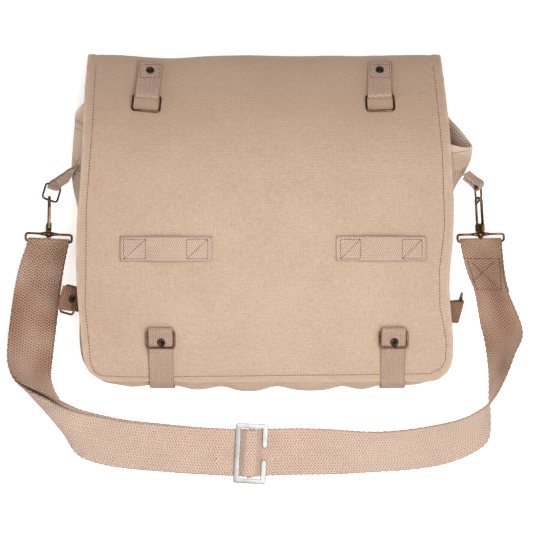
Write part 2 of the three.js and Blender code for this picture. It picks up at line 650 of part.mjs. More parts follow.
function hookGeometry() {
  const line = [vec(HOOK.bend, HOOK.base + 3, 0), vec(HOOK.bend, HOOK.reach, 0)];
  for (let k = 1; k <= 7; k += 1) {
    const angle = (Math.PI * k) / 7;
    line.push(vec(HOOK.bend * Math.cos(angle), HOOK.reach + HOOK.bend * Math.sin(angle), 0));
  }
  line.push(vec(-HOOK.bend, tipY, 0));
  const round = new THREE.Shape().absarc(0, 0, HOOK.wire, 0, 2 * Math.PI, false);
  const wire = solidOf(new THREE.ExtrudeGeometry(round, {
    steps: line.length - 1, extrudePath: new CornerPath(line, false), curveSegments: 4, bevelEnabled: false,
  }));
  const cheek = 2.8;
  const block = box(-HOOK.bend - 1.6, HOOK.bend + 1.9, HOOK.base, HOOK.baseTop, -cheek, cheek);
  const slot = box(-HOOK.bend - 3, -0.6, HOOK.base + 2.4, HOOK.baseTop + 1, -1.7, 1.7);
  const pin = post(HOOK.pin, -cheek + 0.2, cheek - 0.2, 8)
    .rotate([90, 0, 0])
    .translate([pivotX, HOOK.pivotY, 0]);
  const stem = post(1.5, -LOOP.bossHalf - 1, HOOK.base + 0.5, 10);
  const head = post(2.8, -LOOP.bossHalf - LOOP.head, -LOOP.bossHalf - 0.4, 10);
  return geometryOf(block.subtract(slot).add(pin).add(wire).add(stem).add(head));
}

function gateGeometry() {
  const half = 1.1;
  const knuckle = 2.0;
  const shape = new THREE.Shape();
  shape.moveTo(half, tipY - 0.6 - HOOK.pivotY);
  shape.lineTo(-half, tipY - 0.6 - HOOK.pivotY);
  shape.absarc(0, 0, knuckle, Math.PI - 0.99, 2 * Math.PI + 0.99, false);
  shape.closePath();
  shape.holes.push(new THREE.Path().absarc(0, 0, HOOK.pin + 0.35, 0, 2 * Math.PI, true));
  const plate = new THREE.ExtrudeGeometry(shape, { depth: 2.6, bevelEnabled: false, curveSegments: 5 });
  return plate.translate(0, 0, -1.3);
}

function loopGeometry() {
  const wire = solidOf(ringGeometry(LOOP));
  const boss = post(LOOP.boss, -LOOP.bossHalf, LOOP.bossHalf, 12);
  const hole = post(LOOP.hole, -LOOP.bossHalf - 2, LOOP.bossHalf + 2, 12);
  return geometryOf(wire.add(boss).subtract(hole));
}

const foldedHalf = 5.6;
const foldedPly = 1.5;
const foldedGap = 1.05;
const foldedWrap = SIDE_RING.wire + SEAT + foldedGap + foldedPly / 2;
const foldedSection = [
  { s: foldedHalf, n: foldedGap }, { s: -foldedHalf + 1.2, n: foldedGap }, { s: -foldedHalf, n: 0 },
  { s: -foldedHalf + 1.2, n: -foldedGap }, { s: foldedHalf, n: -foldedGap },
].map((row) => ({ ...row, w: foldedWrap }));

const SIDES = [
  {
    name: 'left', side: -1, swivel: vec(-221.8, -11.8, 11), axis: vec(0.045, 0.949, 0.314),
    throat: vec(0, 0, -1), loopBar: vec(1, -0.08, 0),
    ringAxis: vec(0.96, -0.26, 0.04), ringHang: vec(-0.29, -0.82, -0.48),
    root: { y: 49, z: 42, gap: 1.3 },
  },
  {
    name: 'right', side: 1, swivel: vec(220.7, -12, 13), axis: vec(-0.08, 0.93, 0.36),
    throat: vec(0.9, 0, 0.42), loopBar: vec(1, -0.11, 0.12),
    ringAxis: vec(-0.42, -0.33, 0.84), ringHang: vec(0.09, -0.877, -0.468),
    root: { y: 48, z: 38, gap: 1.2 },
  },
];
const loopBars = {};
for (const { name, side, swivel, axis, throat, loopBar, ringAxis, ringHang, root } of SIDES) {
  axis.normalize();
  const x = squareTo(throat, axis);
  const z = x.clone().cross(axis);
  add(`snap_hook_${name}`, hookGeometry(), 'dark', { x, y: axis, z, at: swivel });
  const pivot = along(along(swivel, x, pivotX), axis, HOOK.pivotY);
  add(`snap_gate_${name}`, gateGeometry(), 'dark', { x, y: axis, z, at: pivot });
  const bar = squareTo(loopBar, axis);
  const loopFrame = { x: bar, y: axis, z: bar.clone().cross(axis), at: swivel };
  add(`strap_loop_${name}`, loopGeometry(), 'dark', loopFrame);
  loopBars[name] = { centre: along(swivel, axis, -LOOP.long), bar };

  const hang = ringHang.clone().normalize();
  const ringBar = squareTo(ringAxis, hang);
  const top = along(along(swivel, axis, ringSeat), hang, -SIDE_RING.long);
  const upwards = hang.clone().negate();
  const ringFrame = { x: ringBar, y: upwards, z: ringBar.clone().cross(upwards), at: top };
  add(`side_ring_${name}`, ringGeometry(SIDE_RING), 'dark', ringFrame);
  const seat = offWall(side, root.y, root.z, 0);
  const end = squareTo(top.clone().sub(seat), ringBar);
  const upper = end.clone().cross(ringBar);
  if (upper.z < 0) upper.negate();
  const grid = tabGrid({
    side, root: seat, bar: top, axis: ringBar.clone().negate(), upper, end,
    section: foldedSection, gap: root.gap, inside: SIDE_RING.wire + SEAT,
  });
  add(`side_tab_${name}`, sheet(grid, foldedPly), 'webbing');
}

// The shoulder strap. Both edges are smooth curves through the table's rows, closed by the two loops' bars.
const edgeOfBar = ({ centre, bar }, share) => along(centre, bar, (share * STRAP.atLoop) / 2);
const innerEdge = [edgeOfBar(loopBars.right, 1), ...STRAP_ROWS.map((row) => vec(row.ix, row.iy, row.iz)),
  edgeOfBar(loopBars.left, -1)];
const outerEdge = [edgeOfBar(loopBars.right, -1), ...STRAP_ROWS.map((row) => vec(row.ox, row.oy, row.oz)),
  edgeOfBar(loopBars.left, 1)];
const bows = [{ bow: 0 }, ...STRAP_ROWS.map(({ bow }) => ({ bow })), { bow: 0 }];
const inner = new THREE.CatmullRomCurve3(innerEdge, false, 'centripetal');
const outer = new THREE.CatmullRomCurve3(outerEdge, false, 'centripetal');
const lastRow = innerEdge.length - 1;
const acrossStrap = [-1, -0.35, 0.35, 1];
const strapWrap = LOOP.wire + SEAT + STRAP.thick / 2;
const plySpace = STRAP.thick + SEAT;

function strapFrame(row) {
  const t = row / lastRow;
  const a = inner.getPoint(t);
  const b = outer.getPoint(t);
  const ahead = Math.min(t + 0.004, 1);
  const behind = Math.max(t - 0.004, 0);
  const run = inner.getPoint(ahead).sub(inner.getPoint(behind));
  run.add(outer.getPoint(ahead)).sub(outer.getPoint(behind));
  const width = b.clone().sub(a);
  const normal = run.clone().cross(width).normalize();
  return { a, b, run: run.normalize(), normal, middle: a.clone().add(b).multiplyScalar(0.5) };
}

function strapRow(row, offset, bowShare, slip = 0) {
  const { a, b, normal } = strapFrame(row);
  const bow = bowShare * column(bows, 'bow', row);
  const inwards = a.clone().sub(b).normalize();
  return acrossStrap.map((c) => {
    const point = along(a.clone().lerp(b, (c + 1) / 2), inwards, slip);
    return along(point, normal, offset + bow * (1 - c * c));
  });
}

function loopRows(row, towards) {
  const { a, b, run, normal } = strapFrame(row);
  const rows = [];
  for (let k = 1; k <= 5; k += 1) {
    const angle = (Math.PI * k) / 6;
    const radial = normal.clone().multiplyScalar(Math.cos(angle));
    radial.addScaledVector(run, towards * Math.sin(angle));
    rows.push(acrossStrap.map((c) => along(a.clone().lerp(b, (c + 1) / 2), radial, strapWrap)));
  }
  return rows;
}

const LAYERS = {
  lapRows: 2, easeRows: 1.4, sliderRow: 14, doubleFrom: 13, doubleTo: 15, slip: 1.6, part: 0.22, twist: 0.4,
};
const ease = (row) => THREE.MathUtils.smoothstep(Math.min(row, lastRow - row), 0, LAYERS.easeRows);
const doubled = (row) => THREE.MathUtils.smoothstep(row, LAYERS.doubleFrom, LAYERS.doubleTo);
// The under layer of the doubled stretch shows along the inner edge by its slip.
const slip = (row) => LAYERS.slip * THREE.MathUtils.smoothstep(row, 15, 16.5) * ease(row);
// The layers part where the strap bows out at the corner, and a little where it twists.
const parting = (row) => LAYERS.twist * THREE.MathUtils.smoothstep(row, 15, 18)
  + LAYERS.part * Math.max(column(bows, 'bow', row), 0) * doubled(row);
const layerSpace = (row) => THREE.MathUtils.lerp(2 * strapWrap, plySpace + parting(row), ease(row));
// The long layer lies under the lap at the right loop and over the second layer at the left one.
const mainSide = (row) => (row < lastRow / 2 ? -1 : 1);
const mainOffset = (row) => (
  THREE.MathUtils.lerp(mainSide(row) * strapWrap, (doubled(row) * plySpace) / 2, ease(row))
);
const otherOffset = (row) => mainOffset(row) - mainSide(row) * layerSpace(row);

function sliderRise(row) {
  const at = strapFrame(row).middle.x - SLIDER.x;
  if (at < SLIDER_HUMP[0].at || at > SLIDER_HUMP[SLIDER_HUMP.length - 1].at) return 0;
  return Math.max(column(SLIDER_HUMP, 'rise', rowAt(SLIDER_HUMP, 'at', at, SLIDER_HUMP.length - 1)), 0);
}

// Table rows to sample: close together at the slider and at the turns.
const mainRows = [];
for (let row = 0; row <= lastRow + 1e-6;) {
  mainRows.push(Math.min(row, lastRow));
  const nearSlider = row > 13.3 && row < 14.7;
  row += nearSlider ? 0.056 : 0.5;
}
if (mainRows[mainRows.length - 1] < lastRow) mainRows.push(lastRow);

const strapGrid = [];
for (let row = LAYERS.lapRows; row > 0.1; row -= 0.36) strapGrid.push(strapRow(row, otherOffset(row), 1));
strapGrid.push(strapRow(0, strapWrap, 1), ...loopRows(0, -1));
for (const row of mainRows) {
  strapGrid.push(strapRow(row, mainOffset(row) + sliderRise(row), 1));
}
strapGrid.push(...loopRows(lastRow, 1));
for (const row of mainRows.slice().reverse()) {
  const pastSlider = strapFrame(row).middle.x < SLIDER.x - 9 || row > 20;
  if (pastSlider) strapGrid.push(strapRow(row, otherOffset(row), 0.35, slip(row)));
}

// The strap's end: up round the slider's middle bar from below, and back over it.
const SLIDER_END = [
  { at: -5, z: 2.9 }, { at: -1, z: 3.6 }, { at: 1.6, z: 3.7 }, { at: 2.9, z: 4.2 }, { at: 3.4, z: 5.2 },
  { at: 3.4, z: 7.2 }, { at: 2.9, z: 8.2 }, { at: 1.4, z: 8.7 }, { at: -3.2, z: 8.6 },
];
for (const { at, z } of SLIDER_END) {
  const { a, b } = strapFrame(LAYERS.sliderRow);
  strapGrid.push(acrossStrap.map((c) => {
    const point = a.clone().lerp(b, (c + 1) / 2);
    return vec(point.x + SLIDER.x - (a.x + b.x) / 2 + at, point.y, z);
  }));
}
add('shoulder_strap', sheet(strapGrid, STRAP.thick), 'webbing');

// The slider: a flat frame with a middle bar, its right bar split into two tines.
function sliderGeometry() {
  const { wide, long, bar, rail, middle, gap, low, thick } = SLIDER;
  const corner = 2.5;
  const w = wide / 2;
  const h = long / 2;
  const plate = new THREE.Shape();
  plate.moveTo(-w + corner, -h);
  plate.absarc(w - corner, -h + corner, corner, -Math.PI / 2, 0, false);
  plate.absarc(w - corner, h - corner, corner, 0, Math.PI / 2, false);
  plate.absarc(-w + corner, h - corner, corner, Math.PI / 2, Math.PI, false);
  plate.absarc(-w + corner, -h + corner, corner, Math.PI, 1.5 * Math.PI, false);
  const cut = { depth: thick, bevelEnabled: false, curveSegments: 3 };
  const frame = solidOf(new THREE.ExtrudeGeometry(plate, cut).translate(0, 0, low));
  const under = low - 1;
  const over = low + thick + 1;
  const left = box(-w + bar, -middle / 2, -h + rail, h - rail, under, over);
  const right = box(middle / 2, w - bar, -h + rail, h - rail, under, over);
  const mouth = box(w - bar - 1, w + 1, -gap / 2, gap / 2, under, over);
  let solid = frame.subtract(left).subtract(right).subtract(mouth);
  for (const y of [-gap / 2, gap / 2]) {
    const tip = solidOf(new THREE.CylinderGeometry(bar / 2, bar / 2, thick, 14).rotateX(Math.PI / 2)
      .translate(w - bar / 2, y, low + thick / 2));
    solid = solid.add(tip);
  }
  return geometryOf(solid).rotateZ(THREE.MathUtils.degToRad(SLIDER.turn)).translate(SLIDER.x, SLIDER.y, 0);
}
add('slider', sliderGeometry(), 'bright');

export default part;
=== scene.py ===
# %% [markdown]
# # A canvas field bag, dressed
# The frame holds the bag as plain solids of the right size: canvas walls, webbing strips, wire rings,
# hooks and a slider. This lesson gives each of them its finished shape and surface. The cloth starts as a
# copy of its solid, so it can't drift from it. The metal is bent and turned anew, because a solid's flat
# facets would show.

# %% Load the frame
import json
import math

import bmesh
import bpy
import numpy as np
from mathutils import Matrix, Vector, noise
from mathutils.bvhtree import BVHTree
from mathutils.kdtree import KDTree


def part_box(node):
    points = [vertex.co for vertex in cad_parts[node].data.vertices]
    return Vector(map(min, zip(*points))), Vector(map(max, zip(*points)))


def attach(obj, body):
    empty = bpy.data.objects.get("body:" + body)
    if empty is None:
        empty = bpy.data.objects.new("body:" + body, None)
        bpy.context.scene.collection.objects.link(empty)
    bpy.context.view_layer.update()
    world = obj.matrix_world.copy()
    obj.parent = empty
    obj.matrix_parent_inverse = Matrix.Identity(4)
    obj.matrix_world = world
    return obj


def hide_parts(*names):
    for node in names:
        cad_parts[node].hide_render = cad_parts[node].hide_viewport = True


MM = 0.001
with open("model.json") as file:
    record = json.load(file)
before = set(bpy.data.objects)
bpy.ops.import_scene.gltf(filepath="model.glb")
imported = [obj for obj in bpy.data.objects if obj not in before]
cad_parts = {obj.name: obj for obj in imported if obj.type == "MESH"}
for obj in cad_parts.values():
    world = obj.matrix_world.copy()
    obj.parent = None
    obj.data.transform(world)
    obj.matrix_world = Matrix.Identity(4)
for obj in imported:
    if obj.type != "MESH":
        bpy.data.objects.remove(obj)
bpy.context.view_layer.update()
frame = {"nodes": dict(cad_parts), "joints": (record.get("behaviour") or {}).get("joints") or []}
nodes = frame["nodes"]
print("frame holds", len(nodes), "nodes")

# %% [markdown]
# ## Camera, floor and light
# The photograph looks straight down on the bag, so the camera hangs over it and looks down. Its lens is
# long, as the far edges of the bag show hardly any side. One soft lamp hangs close over the bag, a little
# nearer to its bottom than to its top: both ends of the flap fall away from it and are darker there. Two
# weaker lamps and the sky fill the shadows, and the paper glows a little, as on a light table.

# %% Camera
EYE = Vector((1.5, -45.1, 2500)) * MM
FIELD = 549 * MM  # width of floor in the picture

camera_data = bpy.data.cameras.new("camera")
camera_data.sensor_width = 36
camera_data.lens = camera_data.sensor_width * EYE.z / FIELD
camera = bpy.data.objects.new("camera", camera_data)
camera.location = EYE
bpy.context.scene.collection.objects.link(camera)
bpy.context.scene.camera = camera
bpy.context.scene.view_settings.view_transform = "Standard"
print("lens", round(camera_data.lens), "mm")


# %% Helpers for materials
def linear(colour):
    """A hex colour as a screen shows it, turned to the linear values that shading works with."""
    parts = [int(colour[k : k + 2], 16) / 255 for k in (1, 3, 5)]
    return [p / 12.92 if p <= 0.04045 else ((p + 0.055) / 1.055) ** 2.4 for p in parts] + [1]


def add_node(tree, kind, inputs=None, **settings):
    """Adds a node with its settings. An input is either a value or the socket that feeds it."""
    made = tree.nodes.new(kind)
    for name, value in settings.items():
        setattr(made, name, value)
    for name, value in (inputs or {}).items():
        if isinstance(value, bpy.types.NodeSocket):
            tree.links.new(value, made.inputs[name])
        else:
            made.inputs[name].default_value = value
    return made


def new_material(name, **sockets):
    """A material with one Principled shader; sockets that are the same all over are set here."""
    made = bpy.data.materials.new(name)
    made.use_nodes = True
    tree = made.node_tree
    tree.nodes.clear()
    shader = add_node(tree, "ShaderNodeBsdfPrincipled", {k.replace("_", " "): v for k, v in sockets.items()})
    add_node(tree, "ShaderNodeOutputMaterial", {"Surface": shader.outputs["BSDF"]})
    return made, tree, shader


# %% Floor, sky and lamps
floor_material, _, _ = new_material(
    "matt white studio paper",
    Base_Color=linear("#f7f6f4"),
    Roughness=0.9,
    Emission_Color=linear("#ffffff"),
    Emission_Strength=0.55,
)
floor_mesh = bpy.data.meshes.new("floor")
bm = bmesh.new()
bmesh.ops.create_grid(bm, x_segments=1, y_segments=1, size=6)
bm.to_mesh(floor_mesh)
bm.free()
floor_mesh.materials.append(floor_material)
floor = bpy.data.objects.new("floor", floor_mesh)
floor.location.z = -0.2 * MM
bpy.context.scene.collection.objects.link(floor)

world = bpy.data.worlds.new("sky")
world.use_nodes = True
world.node_tree.nodes["Background"].inputs["Color"].default_value = (1, 1, 1, 1)
world.node_tree.nodes["Background"].inputs["Strength"].default_value = 0.18
bpy.context.scene.world = world

LAMPS = [
    {"name": "softbox", "at": (0.08, -0.1, 0.87), "size": (0.95, 0.5), "watts": 6.6},
    {"name": "fill", "at": (1.1, -1.7, 2.0), "size": (2.2, 2.2), "watts": 25},
    {"name": "side", "at": (-1.6, 0.2, 0.9), "size": (1.2, 1.2), "watts": 6},
]
for row in LAMPS:
    lamp_data = bpy.data.lights.new(row["name"], "AREA")
    lamp_data.shape = "ELLIPSE"
    lamp_data.size, lamp_data.size_y = row["size"]
    lamp_data.energy = row["watts"]
    lamp = bpy.data.objects.new(row["name"], lamp_data)
    lamp.location = row["at"]
    aim = Vector((0.02, -0.12, 0.03)) - lamp.location
    lamp.rotation_euler = aim.to_track_quat("-Z", "Y").to_euler()
    bpy.context.scene.collection.objects.link(lamp)
print("stage is set")

# %% [markdown]
# ## Woven cotton canvas
# Canvas is a plain weave of thick cotton yarn, and the yarn is uneven: longer thick stretches, called
# slubs, give faint streaks along both sets of threads. The pattern needs no UV map here. Three sets of
# waves run along the three axes, and each set only counts where the cloth doesn't face along it, so every
# wall shows two sets that cross. Real threads are 0.6 mm apart, finer than a pixel, so they are drawn at
# more than twice that.

# %% Canvas
CANVAS_PITCH = 1.5 * MM
TAU = 2 * math.pi

canvas, tree, shader = new_material(
    "woven cotton canvas", Roughness=0.92, Sheen_Weight=0.1, Sheen_Roughness=0.6, Specular_IOR_Level=0.15
)
place = add_node(tree, "ShaderNodeTexCoord").outputs["Object"]
facing = add_node(tree, "ShaderNodeNewGeometry").outputs["Normal"]
turns = add_node(tree, "ShaderNodeVectorMath", {0: place, 1: [TAU / CANVAS_PITCH] * 3}, operation="MULTIPLY")
threads = add_node(tree, "ShaderNodeVectorMath", {0: turns.outputs[0]}, operation="SINE")
squared = add_node(tree, "ShaderNodeVectorMath", {0: facing, 1: facing}, operation="MULTIPLY")
shown = add_node(tree, "ShaderNodeVectorMath", {0: (1, 1, 1), 1: squared.outputs[0]}, operation="SUBTRACT")
weave = add_node(
    tree, "ShaderNodeVectorMath", {0: threads.outputs[0], 1: shown.outputs[0]}, operation="DOT_PRODUCT"
)

SLUB = {"long": 7 * MM, "thin": 1.2 * MM}
streaks = []
for scale in [
    (1 / SLUB["long"], 1 / SLUB["thin"], 1 / SLUB["thin"]),
    (1 / SLUB["thin"], 1 / SLUB["long"], 1 / SLUB["thin"]),
]:
    stretched = add_node(tree, "ShaderNodeMapping", {"Vector": place, "Scale": scale})
    streaks.append(
        add_node(tree, "ShaderNodeTexNoise", {"Vector": stretched.outputs[0], "Scale": 1.0, "Detail": 2.0})
    )
cloud = add_node(tree, "ShaderNodeTexNoise", {"Vector": place, "Scale": 1 / (60 * MM), "Detail": 3.0})
fleck = add_node(tree, "ShaderNodeTexNoise", {"Vector": place, "Scale": 1 / (1.7 * MM), "Detail": 2.0})
slubs = add_node(
    tree, "ShaderNodeMath", {0: streaks[0].outputs[0], 1: streaks[1].outputs[0]}, operation="ADD"
)
tone = add_node(
    tree,
    "ShaderNodeMath",
    {0: weave.outputs["Value"], 1: 0.14, 2: slubs.outputs[0]},
    operation="MULTIPLY_ADD",
)
clouded = add_node(
    tree, "ShaderNodeMath", {0: cloud.outputs[0], 1: 0.6, 2: tone.outputs[0]}, operation="MULTIPLY_ADD"
)
share = add_node(tree, "ShaderNodeMapRange", {"Value": clouded.outputs[0], "From Min": 0.5, "From Max": 2.1})
base_colour = add_node(
    tree, "ShaderNodeMix", {0: share.outputs[0], 6: linear("#a78d78"), 7: linear("#ddc4af")}, data_type="RGBA"
)
pinker = add_node(tree, "ShaderNodeMapRange", {"Value": fleck.outputs[0], "To Min": -0.5, "To Max": 1.1})
flecked = add_node(
    tree, "ShaderNodeMix", {0: pinker.outputs[0], 6: base_colour.outputs[2], 7: linear("#bb9b84")}, data_type="RGBA"
)
# painted shade: the canvas is painted darker and browner towards +Y, from 50 to 115 mm, standing in for the
# shade where the flap's top curves away from the lamps
upwards = add_node(tree, "ShaderNodeSeparateXYZ", {"Vector": place})
painted_shade_share = add_node(
    tree,
    "ShaderNodeMapRange",
    {"Value": upwards.outputs["Y"], "From Min": 50 * MM, "From Max": 115 * MM, "To Max": 0.4},
)
shaded_above = add_node(
    tree, "ShaderNodeMix", {0: painted_shade_share.outputs[0], 6: flecked.outputs[2], 7: linear("#aa8b73")}, data_type="RGBA"
)
# rims rubbed pale by wear, and at the gusset's mouth pale painted light
marked = add_node(tree, "ShaderNodeAttribute", attribute_name="wear_and_light")
rubbed_and_lit = add_node(
    tree,
    "ShaderNodeMix",
    {0: marked.outputs["Fac"], 6: shaded_above.outputs[2], 7: linear("#e4cbb5")},
    data_type="RGBA",
)
height = add_node(
    tree, "ShaderNodeMath", {0: slubs.outputs[0], 1: 0.8, 2: weave.outputs["Value"]}, operation="MULTIPLY_ADD"
)
raised = add_node(
    tree, "ShaderNodeBump", {"Height": height.outputs[0], "Strength": 0.5, "Distance": 0.12 * MM}
)
tree.links.new(rubbed_and_lit.outputs[2], shader.inputs["Base Color"])
tree.links.new(raised.outputs[0], shader.inputs["Normal"])
print("canvas pitch", CANVAS_PITCH / MM, "mm")

# %% [markdown]
# ## Woven cotton webbing
# Webbing is woven thick and narrow. Its yarns run in columns along the strip and slant one way in one
# column and the other way in the next: a herringbone. The slant has to follow each strip round its bends,
# so this pattern reads a UV map, measured in metres across and along the strip. The yarns are real size
# and show as rows of small bumps; the narrow tapes are woven finer than the shoulder strap. A point
# attribute browns each strip with painted shade, and every strip is painted darker along its edges: a painted
# shadow.

# %% Webbing
WEAVES = {
    "strap": {"name": "woven cotton webbing", "column": 2.9 * MM, "yarn": 2.9 * MM},
    "tape": {"name": "fine cotton tape", "column": 2.2 * MM, "yarn": 2.2 * MM},
}  # width of one column of slanting yarns, and the way from one yarn to the next


def herringbone(tree, column, yarn):
    """Height of the weave: yarns that slant to and fro, with a valley between their columns."""
    laid = add_node(tree, "ShaderNodeUVMap", uv_map="threads")
    split = add_node(tree, "ShaderNodeSeparateXYZ", {"Vector": laid.outputs["UV"]})
    across, along = split.outputs["X"], split.outputs["Y"]
    zig = add_node(tree, "ShaderNodeMath", {0: across, 1: column}, operation="PINGPONG")
    slant = add_node(tree, "ShaderNodeMath", {0: zig.outputs[0], 1: 1.1, 2: along}, operation="MULTIPLY_ADD")
    phase = add_node(tree, "ShaderNodeMath", {0: slant.outputs[0], 1: TAU / yarn}, operation="MULTIPLY")
    wave = add_node(tree, "ShaderNodeMath", {0: phase.outputs[0]}, operation="SINE")
    turn = add_node(tree, "ShaderNodeMath", {0: across, 1: TAU / column}, operation="MULTIPLY")
    valley = add_node(tree, "ShaderNodeMath", {0: turn.outputs[0]}, operation="COSINE")
    return add_node(
        tree, "ShaderNodeMath", {0: valley.outputs[0], 1: -0.3, 2: wave.outputs[0]}, operation="MULTIPLY_ADD"
    ).outputs[0]


def woven(name, column, yarn):
    """Webbing of one weave: pale, browned by painted shade where a point attribute says, and darker along its
    edges with painted shadow.
    """
    made, tree, shader = new_material(
        name, Roughness=0.9, Sheen_Weight=0.1, Sheen_Roughness=0.6, Specular_IOR_Level=0.18
    )
    height = herringbone(tree, column, yarn)
    place = add_node(tree, "ShaderNodeTexCoord").outputs["Object"]
    cloud = add_node(tree, "ShaderNodeTexNoise", {"Vector": place, "Scale": 1 / (38 * MM), "Detail": 4.0})
    fuzz = add_node(tree, "ShaderNodeTexNoise", {"Vector": place, "Scale": 1 / (1.1 * MM), "Detail": 2.0})
    soiled = add_node(tree, "ShaderNodeMath", {0: cloud.outputs[0], 1: 0.4}, operation="MULTIPLY")
    mottled = add_node(
        tree, "ShaderNodeMath", {0: fuzz.outputs[0], 1: 0.6, 2: soiled.outputs[0]}, operation="MULTIPLY_ADD"
    )
    tone = add_node(
        tree, "ShaderNodeMath", {0: height, 1: 0.5, 2: mottled.outputs[0]}, operation="MULTIPLY_ADD"
    )
    share = add_node(tree, "ShaderNodeMapRange", {"Value": tone.outputs[0], "From Min": 0.1, "From Max": 0.9})
    pale = add_node(
        tree,
        "ShaderNodeMix",
        {0: share.outputs[0], 6: linear("#be9680"), 7: linear("#f5ddcc")},
        data_type="RGBA",
    )
    brown = add_node(
        tree,
        "ShaderNodeMix",
        {0: share.outputs[0], 6: linear("#42281b"), 7: linear("#cf9f80")},
        data_type="RGBA",
    )
    # painted shade: a point attribute mixes in the brown weave, standing in for shade on the strap's sides
    # and on strips that lie in shade
    painted_shade = add_node(tree, "ShaderNodeAttribute", attribute_name="painted_shade")
    base_colour = add_node(
        tree,
        "ShaderNodeMix",
        {0: painted_shade.outputs["Fac"], 6: pale.outputs[2], 7: brown.outputs[2]},
        data_type="RGBA",
    )
    # painted shadow: every strip is painted darker along its rim, standing in for the shadow lines at its
    # edges
    rim = add_node(tree, "ShaderNodeAttribute", attribute_name="rim")
    edge_shadow = add_node(
        tree, "ShaderNodeMapRange", {"Value": rim.outputs["Fac"], "From Min": 0.92, "To Max": 0.32}
    )
    edge_shadowed = add_node(
        tree,
        "ShaderNodeMix",
        {0: edge_shadow.outputs[0], 6: base_colour.outputs[2], 7: linear("#5e3a25")},
        data_type="RGBA",
    )
    raised = add_node(tree, "ShaderNodeBump", {"Height": height, "Strength": 0.9, "Distance": 0.4 * MM})
    tree.links.new(edge_shadowed.outputs[2], shader.inputs["Base Color"])
    tree.links.new(raised.outputs[0], shader.inputs["Normal"])
    return made


webbing = {kind: woven(**row) for kind, row in WEAVES.items()}
print("weaves:", list(webbing))

# %% [markdown]
# ## Thread and metal
# The sewing thread is thicker than the cloth and lies in its own needle holes. It is dark brown, partly
# its own colour and partly painted shade for those holes. The rings, hooks and rivets are steel with a
# dark oxide skin, which is thin on bends and high spots, so a warmer metal shows through in patches.
# The slider is nickel plate: nearly white, with a soft brushed gloss.

# %% Thread, oxidised steel and nickel
thread, tree, shader = new_material("cotton sewing thread", Roughness=0.8, Sheen_Weight=0.15)
place = add_node(tree, "ShaderNodeTexCoord").outputs["Object"]
twist = add_node(tree, "ShaderNodeTexNoise", {"Vector": place, "Scale": 1 / (0.9 * MM), "Detail": 1.0})
# partly painted shade: the thread is painted darker than its own brown, standing in for the shade of its
# needle holes
spun_and_shaded = add_node(
    tree,
    "ShaderNodeMix",
    {0: twist.outputs[0], 6: linear("#4a2c1a"), 7: linear("#7e5a3f")},
    data_type="RGBA",
)
tree.links.new(spun_and_shaded.outputs[2], shader.inputs["Base Color"])


def metal(name, base, patch, smooth, rough, grain):
    """A bare or plated metal: two tones in patches of a grain's size, with the gloss varying alike."""
    made, tree, shader = new_material(name, Metallic=1.0)
    place = add_node(tree, "ShaderNodeTexCoord").outputs["Object"]
    patches = add_node(tree, "ShaderNodeTexNoise", {"Vector": place, "Scale": 1 / grain, "Detail": 5.0})
    share = add_node(
        tree, "ShaderNodeMapRange", {"Value": patches.outputs[0], "From Min": 0.38, "From Max": 0.66}
    )
    toned = add_node(
        tree, "ShaderNodeMix", {0: share.outputs[0], 6: linear(base), 7: linear(patch)}, data_type="RGBA"
    )
    gloss = add_node(
        tree, "ShaderNodeMapRange", {"Value": patches.outputs[0], "To Min": smooth, "To Max": rough}
    )
    pits = add_node(tree, "ShaderNodeTexNoise", {"Vector": place, "Scale": 1 / (0.5 * MM), "Detail": 2.0})
    marked = add_node(
        tree, "ShaderNodeBump", {"Height": pits.outputs[0], "Strength": 0.12, "Distance": 0.05 * MM}
    )
    tree.links.new(toned.outputs[2], shader.inputs["Base Color"])
    tree.links.new(gloss.outputs[0], shader.inputs["Roughness"])
    tree.links.new(marked.outputs[0], shader.inputs["Normal"])
    return made


steel = metal("oxidised steel wire", "#4f3d2d", "#8a6c4e", 0.2, 0.42, 7 * MM)
rivet_steel = metal("blackened rivet steel", "#2b2622", "#594c3f", 0.3, 0.55, 4 * MM)
nickel = metal("bright nickel plate", "#989795", "#afaeac", 0.42, 0.52, 12 * MM)
print("materials:", [m.name for m in bpy.data.materials if m.use_nodes])

# %% [markdown]
# ## Cloth from its solid
# A solid of cloth comes as loose triangles. Merged and paired up again they give the quads that it was
# built from, and Catmull-Clark subdivision turns those into a smooth sheet. Edges that turn sharply are
# creased, so that the sheet keeps its thickness and its outline. A point attribute remembers which points
# lie on the rim.


# %% Copy, pair up, subdivide
def open_pairs(edges):
    """Edges between two triangles that could still become one quad."""
    flat = math.radians(80)
    return [e for e in edges if all(len(f.verts) == 3 for f in e.link_faces) and e.calc_face_angle(0) < flat]


def diagonal_share(edge):
    """High for an edge that runs across a flat quad, low for one that bounds it."""
    others = [other for face in edge.link_faces for other in face.edges if other != edge]
    return edge.calc_length() / sum(e.calc_length() for e in others) * math.cos(edge.calc_face_angle(0) / 2)


def pair_up(bm):
    """Joins triangles to quads, the surest first, and at once each triangle with one partner left."""
    waiting = sorted(open_pairs(bm.edges), key=diagonal_share)
    while waiting:
        edge = waiting.pop()
        if edge.is_valid and open_pairs([edge]):
            pair = list(edge.link_faces)
            near = [f for face in pair for e in face.edges for f in e.link_faces if f not in pair]
            bmesh.ops.dissolve_edges(bm, edges=[edge], use_verts=False)
            for face in near:
                left = open_pairs(face.edges)
                if len(left) == 1:
                    waiting.append(left[0])


def merged_copy(node):
    """The node's mesh as welded quads, with its sharp edges creased and its rim points marked."""
    bm = bmesh.new()
    bm.from_mesh(nodes[node].data)
    bmesh.ops.remove_doubles(bm, verts=bm.verts, dist=0.02 * MM)
    pair_up(bm)
    crease = bm.edges.layers.float.new("crease_edge")
    rim = bm.verts.layers.float.new("rim")
    for edge in bm.edges:
        if edge.calc_face_angle(0) > math.radians(52):
            edge[crease] = 0.9
            for vert in edge.verts:
                vert[rim] = 1.0
    return bm


